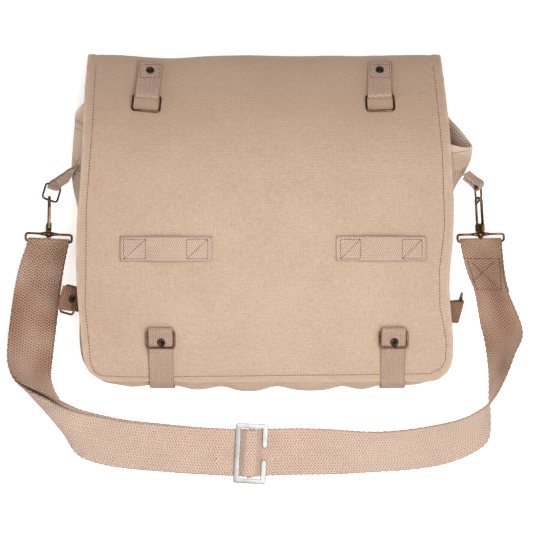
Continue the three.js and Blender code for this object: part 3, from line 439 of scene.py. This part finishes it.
def as_object(bm, name, material, body="bag"):
    """Puts a finished bmesh into the scene, on its CAD body and with its finish."""
    mesh = bpy.data.meshes.new(name)
    bm.to_mesh(mesh)
    bm.free()
    mesh.materials.append(material)
    mesh.shade_smooth()
    made = bpy.data.objects.new(name, mesh)
    bpy.context.scene.collection.objects.link(made)
    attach(made, body)
    return made


def subdivide(piece, levels):
    """Smooths a piece by Catmull-Clark and keeps the result as its own mesh."""
    smoother = piece.modifiers.new("smooth", "SUBSURF")
    smoother.levels = smoother.render_levels = levels
    settled = bpy.data.meshes.new_from_object(piece.evaluated_get(bpy.context.evaluated_depsgraph_get()))
    piece.modifiers.clear()
    piece.data = settled
    piece.data.shade_smooth()


def points_of(piece):
    flat = np.zeros(len(piece.data.vertices) * 3)
    piece.data.vertices.foreach_get("co", flat)
    return flat.reshape(-1, 3)


def set_points(piece, points):
    piece.data.vertices.foreach_set("co", np.asarray(points, float).ravel())
    piece.data.update()


# %% [markdown]
# ## Rumples
# Stuffed canvas is never even: broad dents, and small creases where it is sewn. All of them come from one
# field of offsets in space. Each canvas wall follows the same field, so two walls that lie close together
# stay apart. The field fades out at the floor and round every ring, rivet and sewn strip, which stay
# where the frame holds them.

# %% The field of rumples
noise.seed_set(7)  # without a seed the field would differ from run to run
QUIET = []  # middles and half sizes of the places that stay still
for name in nodes:
    if not any(word in name for word in ("panel", "gusset", "flap", "shoulder")):
        low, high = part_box(name)
        QUIET.append(((low + high) / 2, (high - low) / 2))


def calm(point):
    """1 in open cloth, falling to 0 close to hardware and to the floor."""
    share = min(max((point.z - 3 * MM) / (12 * MM), 0), 1)
    for middle, half in QUIET:
        away = Vector(max(abs(point[k] - middle[k]) - half[k], 0) for k in range(3))
        share = min(share, away.length / (16 * MM))
        if share <= 0:
            return 0.0
    return share * share * (3 - 2 * share)


RUMPLES = [
    {"size": 95 * MM, "depth": 2.2 * MM},
    {"size": 34 * MM, "depth": 0.9 * MM},
    {"size": 11 * MM, "depth": 0.22 * MM},
]


def rumple(points, strength):
    """Moves points by the field; strength is one number for each point."""
    moved = np.array(points)
    for k, (point, amount) in enumerate(zip(points, strength)):
        spot = Vector(point)
        quiet = calm(spot)
        if quiet * amount > 0.01:
            offset = Vector((0, 0, 0))
            for row in RUMPLES:
                offset += noise.noise_vector(spot / row["size"] + Vector((3.1, 7.7, 1.3))) * row["depth"]
            moved[k] += np.array(offset) * quiet * amount
    return moved


print("still places:", len(QUIET))

# %% [markdown]
# ## Canvas walls
# The flap, the front, the gusset and the back are cut from one cloth. The flap has a turned hem all
# round, which is twice as thick and puckers along its stitches. Rims are rubbed pale, so each wall
# carries a value for its points. At the mouth the gusset's ends are painted pale as well: painted light
# for their shaded inner side. The back lies flat and is only rounded at its rim.


# %% Front, gusset and flap
# painted light: BAND is the width of the pale band painted along the gusset's mouth
BAND = 8 * MM  # width of the band round the mouth


def rim_distance(piece):
    """How far each point is from the sheet's rim."""
    marks = np.zeros(len(piece.data.vertices))
    piece.data.attributes["rim"].data.foreach_get("value", marks)
    points = points_of(piece)
    edge = points[marks > 0.985]
    tree = KDTree(len(edge))
    for k, point in enumerate(edge):
        tree.insert(point, k)
    tree.balance()
    return np.array([tree.find(point)[2] for point in points])


def set_wear_and_light(piece, distance, mouth=False):
    """Rubs the rim pale, in patches. At the bag's mouth the gusset's upper ends are painted pale, most of all
    in a band along the mouth: painted light for their shaded inner side.
    """
    points = points_of(piece)
    patches = np.array([0.5 + 0.5 * noise.noise(Vector(p) / (9 * MM)) for p in points])
    values = np.exp(-distance / (1.6 * MM)) * patches * 0.8
    # painted light: the gusset's upper ends are painted pale, and paler still in the band along the mouth,
    # standing in for light on their shaded inner side
    if mouth:
        upper = np.clip((points[:, 1] / MM - 62) / 12, 0, 1)
        values = np.maximum(values, upper * np.where(distance < BAND, 0.95, 0.4))
    wear_and_light = piece.data.attributes.new("wear_and_light", "FLOAT", "POINT")
    wear_and_light.data.foreach_set("value", values.astype(np.float32))


HEM = {"width": 9.5 * MM, "thick": 0.5 * MM, "pucker": 0.3 * MM, "wave": 10 * MM}


def hem_lift(points, distance):
    """Extra thickness of the turned hem, with the small waves that its stitches draw in."""
    step = np.clip((HEM["width"] - distance) / (3 * MM), 0, 1)
    band = np.exp(-(((distance - HEM["width"]) / (7 * MM)) ** 2))
    drift = [3 * noise.noise((x * 30, y * 30, z * 30)) for x, y, z in points]
    waves = [math.sin(TAU * (p[0] + p[1]) / HEM["wave"] + d) for p, d in zip(points, drift)]
    return HEM["thick"] * step + HEM["pucker"] * band * np.array(waves)


CANVAS_WALLS = [
    {"name": "front_cloth", "node": "front_panel", "levels": 2, "rumple": 0.9},
    {"name": "gusset_cloth", "node": "gusset", "levels": 3, "rumple": 0.9},
    {"name": "flap_cloth", "node": "flap", "levels": 3, "rumple": 0.75},
]
cloth = {}
for row in CANVAS_WALLS:
    wall = as_object(merged_copy(row["node"]), row["name"], canvas)
    subdivide(wall, row["levels"])
    points = points_of(wall)
    distance = rim_distance(wall)
    set_wear_and_light(wall, distance, mouth=row["node"] == "gusset")
    moved = rumple(points, np.full(len(points), row["rumple"]))
    if row["node"] == "flap":
        normals = np.array([v.normal for v in wall.data.vertices])
        moved += normals * hem_lift(points, distance)[:, None]
    set_points(wall, moved)
    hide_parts(row["node"])
    cloth[row["node"]] = wall
    print(row["name"], len(wall.data.polygons), "faces")

# %% Back
bm = merged_copy("back_panel")
bmesh.ops.dissolve_limit(bm, angle_limit=math.radians(1), verts=bm.verts, edges=bm.edges)
sharp = [edge for edge in bm.edges if edge.calc_face_angle(0) > math.radians(60)]
bmesh.ops.bevel(
    bm,
    geom=sharp,
    offset=0.6 * MM,
    offset_type="OFFSET",
    affect="EDGES",
    segments=3,
    profile=0.5,
    material=-1,
)
bmesh.ops.triangulate(bm, faces=[face for face in bm.faces if len(face.verts) > 4])
back = as_object(bm, "back_cloth", canvas)
set_wear_and_light(back, np.full(len(back.data.vertices), 0.05))
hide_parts("back_panel")
cloth["back_panel"] = back
print("back_cloth", len(back.data.polygons), "faces")

# %% [markdown]
# ## Webbing strips
# Every strip is a copy of its solid too. Before it is subdivided it gets its UV map: one quad is laid out
# at its true size and Blender's Follow Active Quads lays all the others after it, so the herringbone runs
# round each bar and through each twist. The edges of the strip are nibbled in small steps, as the turning
# weft leaves them.


# %% Lay the threads
def first_quad(bm, along):
    """Lays one quad out at its true size, across the strip in U and along it in V, and makes it active.

    Its place tells it from equal ones, and its first side runs along the strip, so each run starts the same.
    """
    layer = bm.loops.layers.uv.new("threads")
    quads = [f for f in bm.faces if len(f.verts) == 4]
    first = max(quads, key=lambda f: (round(f.calc_area() * f.normal.z / MM**2, 1), *f.calc_center_median()))
    loops = list(first.loops)
    sides = [loop.link_loop_next.vert.co - loop.vert.co for loop in loops]
    start = max(range(4), key=lambda k: sides[k].normalized().dot(along))
    long, wide = sides[start].length, sides[(start + 1) % 4].length
    for k, uv in enumerate([(0, 0), (0, long), (wide, long), (wide, 0)]):
        loops[(start + k) % 4][layer].uv = uv
    bm.faces.active = first


def lay_threads(piece):
    """Lays out the rest of the strip after its active quad."""
    bpy.ops.object.select_all(action="DESELECT")
    piece.select_set(True)
    bpy.context.view_layer.objects.active = piece
    bpy.ops.object.mode_set(mode="EDIT")
    bpy.ops.mesh.select_all(action="SELECT")
    bm = bmesh.from_edit_mesh(piece.data)
    for face in bm.faces:
        for loop in face.loops:
            loop[bm.loops.layers.uv.active].select = True
    bpy.ops.uv.follow_active_quads(mode="LENGTH_AVERAGE")
    bpy.ops.object.mode_set(mode="OBJECT")


def nibble(piece, depth, yarn):
    """Small steps along a strip's edges, one for each turn of the weft."""
    mesh = piece.data
    marks = np.zeros(len(mesh.vertices))
    mesh.attributes["rim"].data.foreach_get("value", marks)
    laid = np.zeros(len(mesh.loops) * 2)
    mesh.uv_layers["threads"].data.foreach_get("uv", laid)
    owner = np.zeros(len(mesh.loops), int)
    mesh.loops.foreach_get("vertex_index", owner)
    run = np.zeros(len(mesh.vertices))
    run[owner] = laid.reshape(-1, 2)[:, 1]
    normals = np.array([v.normal for v in mesh.vertices])
    steps = np.sin(TAU * run / (2 * yarn)) * np.clip((marks - 0.9) / 0.1, 0, 1)
    set_points(piece, points_of(piece) + normals * (depth * steps)[:, None])


def set_painted_shade(piece, amount):
    """How much painted shade browns the webbing: evenly on a short strip, in patches up the shoulder strap's
    sides.
    """
    points = points_of(piece)
    values = np.full(len(points), amount)
    # painted shade: the strap's sides, above its bottom run, are painted browner in patches, standing in for
    # the shade that falls on them
    if piece.name.startswith("shoulder"):
        patches = np.array([1 + 0.55 * noise.noise(Vector(p) / (28 * MM)) for p in points])
        values *= np.clip((points[:, 1] / MM + 195) / 45, 0, 1) * patches
    painted_shade = piece.data.attributes.new("painted_shade", "FLOAT", "POINT")
    painted_shade.data.foreach_set("value", values.astype(np.float32))


X, Y = Vector((1, 0, 0)), Vector((0, 1, 0))
# the last column is how much painted shade browns each strip
STRIPS = [
    {"kind": "top_tab", "along": Y, "sides": ("left", "right"), "painted_shade": 0.48},
    {"kind": "closure_strap", "along": Y, "sides": ("left", "right"), "painted_shade": 0.45},
    {"kind": "belt_loop", "along": X, "sides": ("left", "right"), "painted_shade": 0.1},
    {"kind": "side_tab", "along": X, "sides": ("left", "right"), "painted_shade": 0.35},
    {"kind": "low_tab", "along": X, "sides": ("left", "right"), "painted_shade": 1.0},
    {"kind": "shoulder_strap", "along": Y, "sides": ("",), "painted_shade": 0.74},
]
for row in STRIPS:
    for side in row["sides"]:
        node = f"{row['kind']}_{side}".rstrip("_")
        bm = merged_copy(node)
        first_quad(bm, row["along"])
        weave = "strap" if node == "shoulder_strap" else "tape"
        strip = as_object(bm, f"{node}_webbing", webbing[weave])
        lay_threads(strip)
        subdivide(strip, 3)
        nibble(strip, 0.15 * MM if weave == "tape" else 0.35 * MM, WEAVES[weave]["yarn"])
        set_painted_shade(strip, row["painted_shade"])
        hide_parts(node)
        cloth[node] = strip
        print(strip.name, len(strip.data.polygons), "faces")

# %% [markdown]
# ## Bent wire
# Rings, loops and hooks are bent from round wire. A circle of points is pushed along straight lengths by
# extruding it and round the bends by spinning it, just as a bender forms the wire. Where a ring lies is
# measured on its CAD node: the middle of its points, and the directions in which they spread most and
# least.


# %% Push a wire through its bends
def bend_wire(bm, radius, moves, sides=14):
    """Starts at the origin along +X, in the XY plane. A move is a straight length, a turn and its radius."""
    upright = Matrix.Rotation(math.pi / 2, 4, "Y")
    first = bmesh.ops.create_circle(bm, segments=sides, radius=radius, matrix=upright)
    rim = list(dict.fromkeys(edge for vert in first["verts"] for edge in vert.link_edges))
    place, heading = Vector((0, 0, 0)), Vector((1, 0, 0))
    for length, turn, bend in moves:
        grown = bmesh.ops.extrude_edge_only(bm, edges=rim)["geom"]
        ends = {item for item in grown if isinstance(item, bmesh.types.BMVert)}
        bmesh.ops.translate(bm, verts=list(ends), vec=heading * length)
        rim = [item for item in grown if isinstance(item, bmesh.types.BMEdge) and set(item.verts) <= ends]
        place += heading * length
        if turn:
            side = Vector((-heading.y, heading.x, 0)) * math.copysign(bend, turn)
            turned = bmesh.ops.spin(
                bm, geom=rim, cent=place + side, axis=(0, 0, 1), angle=turn, steps=max(int(abs(turn) * 5), 4)
            )["geom_last"]
            rim = [item for item in turned if isinstance(item, bmesh.types.BMEdge)]
            place = place + side - Matrix.Rotation(turn, 3, "Z") @ side
            heading = Matrix.Rotation(turn, 3, "Z") @ heading
    return rim


def closed_ring(bm, wide, long, radius, corner):
    """A wire bent to a rectangle round the origin, its two ends butted."""
    quarter = -math.pi / 2
    bend_wire(
        bm,
        radius,
        [
            (wide / 2 - corner, quarter, corner),
            (long - 2 * corner, quarter, corner),
            (wide - 2 * corner, quarter, corner),
            (long - 2 * corner, quarter, corner),
            (wide / 2 - corner, 0, 0),
        ],
    )
    bmesh.ops.translate(bm, verts=bm.verts, vec=(0, long / 2, 0))
    bmesh.ops.remove_doubles(bm, verts=bm.verts, dist=0.05 * MM)
    bmesh.ops.recalc_face_normals(bm, faces=bm.faces)


def own_frame(node, square=False):
    """Where a flat node lies: a matrix with its middle, its long side as X and its upward normal as Z."""
    points = np.unique(np.array([v.co for v in nodes[node].data.vertices]).round(6), axis=0)
    middle = points.mean(0)
    axes = np.linalg.svd(points - middle, full_matrices=False)[2]
    if square:  # the spread of a square has no long side, but its corners still show how it is turned
        flat = (points - middle) @ axes[:2].T
        turn = np.angle(((flat[:, 0] + 1j * flat[:, 1]) ** 4).mean()) / 4 + math.pi / 4
        c, s = math.cos(turn), math.sin(turn)
        axes[:2] = np.array([[c, s], [-s, c]]) @ axes[:2]
    spread = (points - middle) @ axes.T
    size = np.ptp(spread, axis=0)
    if size[1] > size[0]:
        axes[:2], size[:2] = axes[[1, 0]], size[[1, 0]]
    spread = (points - middle) @ axes.T
    centre = middle + (spread.min(0) + spread.max(0)) / 2 @ axes
    x, z = Vector(axes[0]), Vector(axes[2])
    z = z if z.z > 0 else -z
    found = Matrix((x, z.cross(x), z)).transposed().to_4x4()
    found.translation = centre
    return found, size


# %% Rings
WIRE = 1.1 * MM
RINGS = [f"{place}_ring_{side}" for place in ("top", "closure", "low") for side in ("left", "right")]
for node in RINGS + ["side_ring_left", "side_ring_right"]:
    place, size = own_frame(node, square=node.startswith("side"))
    bm = bmesh.new()
    closed_ring(bm, size[0] - 2 * WIRE, size[1] - 2 * WIRE, WIRE, 3 * MM)
    bm.transform(place)
    body = node if node in RINGS else "bag"
    ring = as_object(bm, f"{node}_wire", steel, body)
    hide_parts(node)
    print(ring.name, [round(s / MM, 1) for s in size])

# %% [markdown]
# ## Rivets
# The rivets are tubes, split and rolled over: a ring with a dark hollow whose wall is torn into points.
# The profile is spun round, and then every other point of the hollow's rim is drawn inwards.

# %% Turn the rivets
RIVET = [(4.0, 0.0), (4.2, 0.5), (3.7, 1.2), (2.8, 1.5), (2.2, 1.2), (1.9, 0.5), (1.5, 0.25), (0.0, 0.2)]
for node in [name for name in nodes if "rivet" in name]:
    bm = bmesh.new()
    profile = [bm.verts.new((r * MM, 0, z * MM)) for r, z in RIVET]
    line = [bm.edges.new(pair) for pair in zip(profile, profile[1:])]
    bmesh.ops.spin(
        bm, geom=profile + line, cent=(0, 0, 0), axis=(0, 0, 1), angle=TAU, steps=24, use_merge=True
    )
    bmesh.ops.remove_doubles(bm, verts=bm.verts, dist=0.01 * MM)
    bmesh.ops.holes_fill(bm, edges=bm.edges, sides=0)
    bmesh.ops.recalc_face_normals(bm, faces=bm.faces)
    for vert in bm.verts:
        radius = vert.co.xy.length
        if 1.8 * MM < radius < 2.4 * MM:
            tear = 0.78 + 0.22 * math.cos(6 * math.atan2(vert.co.y, vert.co.x))
            vert.co.xy *= tear
    place, size = own_frame(node)
    bm.transform(place @ Matrix.Translation((0, 0, -size[2] / 2)))
    rivet = as_object(bm, f"{node}_turned", rivet_steel)
    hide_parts(node)
print("rivets are", 2 * RIVET[1][0], "mm across")

# %% [markdown]
# ## Snap hooks
# A hook is a wire bent over at its top, set in a small forked body that turns on the wide wire loop of
# the strap. A thin gate pivots between the fork's cheeks and closes the throat. The gate's joint gives
# the place and the turn of the whole hook; the gate itself is long and thin, so its points show which way
# the hook runs.

# %% Hook, gate and loop
HOOK = {"reach": 36.5, "bend": 3.0, "wire": 1.5, "tip": 5.0}
HOOK |= {"base": 3.0, "top": 11.5, "cheek": 2.8, "slot": 1.7}
PIVOT = (-3.0, 8.0)
LOOP = {"wide": 47.4, "long": 8.0, "wire": 1.25, "corner": 2.6, "swell": 2.5, "taper": 8.0}


def block(bm, low, high, edge):
    """A box between two corners in millimetres, its edges rounded over."""
    low, high = Vector(low) * MM, Vector(high) * MM
    size = Matrix.Diagonal((*(high - low), 1))
    made = bmesh.ops.create_cube(bm, size=1, matrix=Matrix.Translation((low + high) / 2) @ size)
    edges = list({e for v in made["verts"] for e in v.link_edges})
    bmesh.ops.bevel(
        bm,
        geom=edges,
        offset=edge * MM,
        offset_type="OFFSET",
        affect="EDGES",
        segments=3,
        profile=0.5,
        material=-1,
    )


def turned(bm, profile, steps=20):
    """A closed shape turned round Y from a profile of radii and heights in millimetres."""
    points = [bm.verts.new((r * MM, y * MM, 0)) for r, y in profile]
    line = [bm.edges.new(pair) for pair in zip(points, points[1:])]
    bmesh.ops.spin(
        bm, geom=points + line, cent=(0, 0, 0), axis=(0, 1, 0), angle=TAU, steps=steps, use_merge=True
    )


def hook_frame(side):
    """The hook's own axes: Y from its swivel to its bend, X across its throat."""
    joint = next(j for j in frame["joints"] if j["child"] == f"snap_gate_{side}")
    z = -Vector(joint["axis"]).normalized()
    points = np.array([v.co for v in nodes[f"snap_gate_{side}"].data.vertices])
    y = Vector(np.linalg.svd(points - points.mean(0), full_matrices=False)[2][0])
    y = y if y.y > 0 else -y
    y = (y - z * y.dot(z)).normalized()
    x = y.cross(z)
    found = Matrix((x, y, z)).transposed().to_4x4()
    found.translation = Vector(joint["pos_m"]) - x * PIVOT[0] * MM - y * PIVOT[1] * MM
    return found


for side in ("left", "right"):
    place = hook_frame(side)
    bm = bmesh.new()
    end = bend_wire(
        bm,
        HOOK["wire"] * MM,
        [
            ((HOOK["reach"] - HOOK["base"] - 2) * MM, math.pi, HOOK["bend"] * MM),
            (HOOK["tip"] * MM, 0, 0),
        ],
        sides=16,
    )
    bmesh.ops.holes_fill(bm, edges=bm.edges, sides=0)
    bmesh.ops.rotate(bm, verts=bm.verts, matrix=Matrix.Rotation(math.pi / 2, 3, "Z"))
    bmesh.ops.translate(bm, verts=bm.verts, vec=Vector((HOOK["bend"], HOOK["base"] + 2, 0)) * MM)
    cheek, slot, wide = HOOK["cheek"], HOOK["slot"], HOOK["bend"] + 1.5
    block(bm, (-0.6, HOOK["base"], -cheek), (wide, HOOK["top"], cheek), 1.3)
    block(bm, (-wide, HOOK["base"], -cheek), (1, HOOK["base"] + 2.4, cheek), 0.9)
    for low, high in ((-cheek, -slot), (slot, cheek)):
        block(bm, (-wide, HOOK["base"] + 0.6, low), (0, HOOK["top"] - 0.6, high), 0.45)
    swivel = [(0, 4.0), (2.6, 3.4), (1.5, 2.7), (1.5, -2.5), (2.6, -2.6), (2.8, -3.1), (2.2, -3.7), (0, -3.8)]
    turned(bm, swivel)
    bmesh.ops.remove_doubles(bm, verts=bm.verts, dist=0.01 * MM)
    bmesh.ops.recalc_face_normals(bm, faces=bm.faces)
    bm.transform(place)
    hook = as_object(bm, f"snap_hook_{side}_bent", steel)
    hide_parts(f"snap_hook_{side}")

    bm = merged_copy(f"snap_gate_{side}")
    bmesh.ops.dissolve_limit(bm, angle_limit=math.radians(2), verts=bm.verts, edges=bm.edges)
    sharp = [edge for edge in bm.edges if edge.calc_face_angle(0) > math.radians(60)]
    bmesh.ops.bevel(
        bm,
        geom=sharp,
        offset=0.3 * MM,
        offset_type="OFFSET",
        affect="EDGES",
        segments=2,
        profile=0.5,
        material=-1,
    )
    gate = as_object(bm, f"snap_gate_{side}_leaf", steel, f"snap_gate_{side}")
    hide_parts(f"snap_gate_{side}")

    loop_place, size = own_frame(f"strap_loop_{side}")
    bm = bmesh.new()
    turned(bm, [(1.9, -2.1), (3.0, -2.2), (3.4, -1.6), (3.4, 1.6), (3.0, 2.2), (1.9, 2.1), (1.9, -2.1)])
    bmesh.ops.remove_doubles(bm, verts=bm.verts, dist=0.01 * MM)
    for towards in (-1, 1):
        lie = Matrix.Translation((towards * (2 + LOOP["taper"] / 2) * MM, 0, 0))
        bmesh.ops.create_cone(
            bm,
            cap_ends=True,
            segments=14,
            radius1=LOOP["swell"] * MM,
            radius2=LOOP["wire"] * MM,
            depth=LOOP["taper"] * MM,
            matrix=lie @ Matrix.Rotation(towards * math.pi / 2, 4, "Y"),
        )
    x = Vector(loop_place.col[0][:3])
    x = x if x.x > 0 else -x
    y = Vector(place.col[1][:3])
    x = (x - y * x.dot(y)).normalized()
    loop_frame = Matrix((x, y, x.cross(y))).transposed().to_4x4()
    loop_frame.translation = place.translation
    wire = bmesh.new()
    closed_ring(wire, LOOP["wide"] * MM, LOOP["long"] * MM, LOOP["wire"] * MM, LOOP["corner"] * MM)
    bmesh.ops.translate(wire, verts=wire.verts, vec=(0, -LOOP["long"] / 2 * MM, 0))
    spare = bpy.data.meshes.new("spare")
    wire.to_mesh(spare)
    wire.free()
    bm.from_mesh(spare)
    bpy.data.meshes.remove(spare)
    bmesh.ops.recalc_face_normals(bm, faces=bm.faces)
    bm.transform(loop_frame)
    wide_loop = as_object(bm, f"strap_loop_{side}_wire", steel)
    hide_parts(f"strap_loop_{side}")
    print(hook.name, gate.name, wide_loop.name)

# %% [markdown]
# ## Slider
# The slider is stamped from plate and tumbled, so its edges are rounded. Its solid already has the right
# outline: the flat faces are dissolved back to single faces, and the edges that are left are bevelled.

# %% Round the stamped plate
bm = merged_copy("slider")
bmesh.ops.dissolve_limit(bm, angle_limit=math.radians(1), verts=bm.verts, edges=bm.edges)
sharp = [edge for edge in bm.edges if edge.calc_face_angle(0) > math.radians(50)]
bmesh.ops.bevel(
    bm,
    geom=sharp,
    offset=0.55 * MM,
    offset_type="OFFSET",
    affect="EDGES",
    segments=3,
    profile=0.5,
    material=-1,
)
bmesh.ops.triangulate(bm, faces=[face for face in bm.faces if len(face.verts) > 4])
slider = as_object(bm, "slider_plate", nickel)
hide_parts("slider")
slider.data.set_sharp_from_angle(angle=math.radians(35))
print("slider_plate", len(slider.data.polygons), "faces")

# %% [markdown]
# ## Stitches
# A lockstitch shows as a row of short dashes, each pulled down at both ends. Each line of stitches is
# drawn from above as a few points and dropped straight down onto the cloth that it holds, so it follows
# every dent. One stitch is a small stretched ball of a few faces, half sunk in the cloth.

# %% Sew along lines
STITCH = {"pitch": 3.0, "long": 2.4, "wide": 1.1, "high": 0.7}


def sew(name, piece, lines, stitch=STITCH):
    """Sets stitches along lines of X and Y in millimetres, on top of a piece."""
    ground = BVHTree.FromObject(piece, bpy.context.evaluated_depsgraph_get())
    half = Matrix.Diagonal((stitch["long"] / 2 * MM, stitch["wide"] / 2 * MM, stitch["high"] / 2 * MM, 1))
    bm = bmesh.new()
    for start, end in (pair for line in lines for pair in zip(line, line[1:])):
        start, end = Vector((*start, 200)) * MM, Vector((*end, 200)) * MM
        count = max(round((end - start).length / (stitch["pitch"] * MM)), 1)
        for k in range(count):
            spot, normal, _, _ = ground.ray_cast(start.lerp(end, (k + 0.5) / count), Vector((0, 0, -1)))
            if spot is not None:
                ahead = (end - start) - normal * (end - start).dot(normal)
                ahead.normalize()
                turn = Matrix((ahead, normal.cross(ahead), normal)).transposed().to_4x4()
                lie = Matrix.Translation(spot) @ turn @ half
                bmesh.ops.create_uvsphere(bm, u_segments=6, v_segments=4, radius=1, matrix=lie)
    made = as_object(bm, name, thread)
    print(name, len(made.data.polygons), "faces")
    return made


# %% Seams of the flap, the loops, the tabs and the strap
HEM_LINE = [
    (-172, 160), (-174, 90), (-179, 15), (-179.5, -53), (-180.4, -84), (-178, -108), (-175.5, -139),
    (-172, -151), (-165, -155), (-136, -156.3), (166, -153), (177, -148), (181.5, -139), (182, -122),
    (179, -102), (175.5, -86),
    (175, -48), (180, -5), (178, 70), (171, 160),
]  # fmt: skip
sewn = {"flap": [sew("flap_hem_stitches", cloth["flap"], [HEM_LINE])]}
MOUTH_LINES = [
    [(-194, 105), (-184, 100)], [(-194, 103), (-184, 98)], [(-194, 96.5), (-184, 91)],
    [(-196, 55), (-186, 50)], [(-196, 51), (-186, 46)], [(-195, 66), (-186, 50)], [(-187, 66), (-196, 50)],
    [(188, 69), (209, 73)], [(188, 48), (207, 57)], [(188, 45.5), (207, 54.5)],
    [(189, 101), (209.5, 77.5)], [(189, 97), (206.5, 77)],
]  # fmt: skip
sewn["gusset"] = [sew("gusset_stitches", cloth["gusset"], MOUTH_LINES)]


def crossed_box(x0, x1, y0, y1):
    """The outline of a sewn box with one diagonal."""
    return [[(x0, y0), (x1, y0), (x1, y1), (x0, y1), (x0, y0), (x1, y1)]]


FINE = {"pitch": 2.4, "long": 1.9, "wide": 0.9, "high": 0.6}
LOOP_BOXES = {"left": [(-141, -119), (-78, -57)], "right": [(75, 95), (137, 157)]}
for side, boxes in LOOP_BOXES.items():
    node = f"belt_loop_{side}"
    lines = [line for x0, x1 in boxes for line in crossed_box(x0, x1, -37.5, -18)]
    sewn[node] = [sew(f"{node}_stitches", cloth[node], lines, FINE)]
for side, x in (("left", -116.5), ("right", 116.3)):
    node = f"top_tab_{side}"
    lines = [[(x - 10, 146), (x - 10, 160), (x + 10, 160), (x + 10, 146), (x - 10, 146)]]
    sewn[node] = [sew(f"{node}_stitches", cloth[node], lines, FINE)]
LAP_LINES = [
    [(207, -37), (239, -37), (240.5, -69), (217.5, -68.5), (208, -39)],
    [(213, -61), (235, -39)], [(212, -41), (238, -67)],
]  # fmt: skip
BOLD = {"pitch": 3.0, "long": 2.7, "wide": 1.4, "high": 0.8}
sewn["shoulder_strap"] = [sew("strap_lap_stitches", cloth["shoulder_strap"], LAP_LINES, BOLD)]

# %% [markdown]
# ## What is cloth
# Every canvas wall and every strip of webbing has a row in a table of sheets, with the size it was cut
# to before it was sewn. Widths are those of the cloth and the tape, and lengths are measured along the
# finished piece. The loop below looks up each piece's row.

SHEETS = {
    "flap": {"flat": (0.37, 0.4), "held": "draped", "on": ["front_panel"]},
    "front_panel": {"flat": (0.356, 0.28), "held": "stretched", "on": ["gusset"]},
    "gusset": {"flat": (0.065, 0.84), "area": 0.045, "held": "gathered", "on": ["back_panel"]},
    "back_panel": {"flat": (0.364, 0.303), "held": "laid", "on": []},
    "top_tab": {"flat": (0.0244, 0.092), "held": "folded", "on": ["flap"]},
    "closure_strap": {"flat": (0.0244, 0.137), "held": "folded", "on": ["flap"]},
    "belt_loop": {"flat": (0.0244, 0.092), "held": "laid", "on": ["flap"]},
    "side_tab": {"flat": (0.0244, 0.05), "held": "folded", "on": ["gusset"]},
    "low_tab": {"flat": (0.0244, 0.045), "held": "folded", "on": ["gusset"]},
    "shoulder_strap": {"flat": (0.0465, 1.33), "held": "laid", "on": ["strap_loop_left", "strap_loop_right"]},
}
for node, piece in cloth.items():
    row = SHEETS.get(node) or SHEETS[node.rsplit("_", 1)[0]]
print("sheets:", len(cloth))
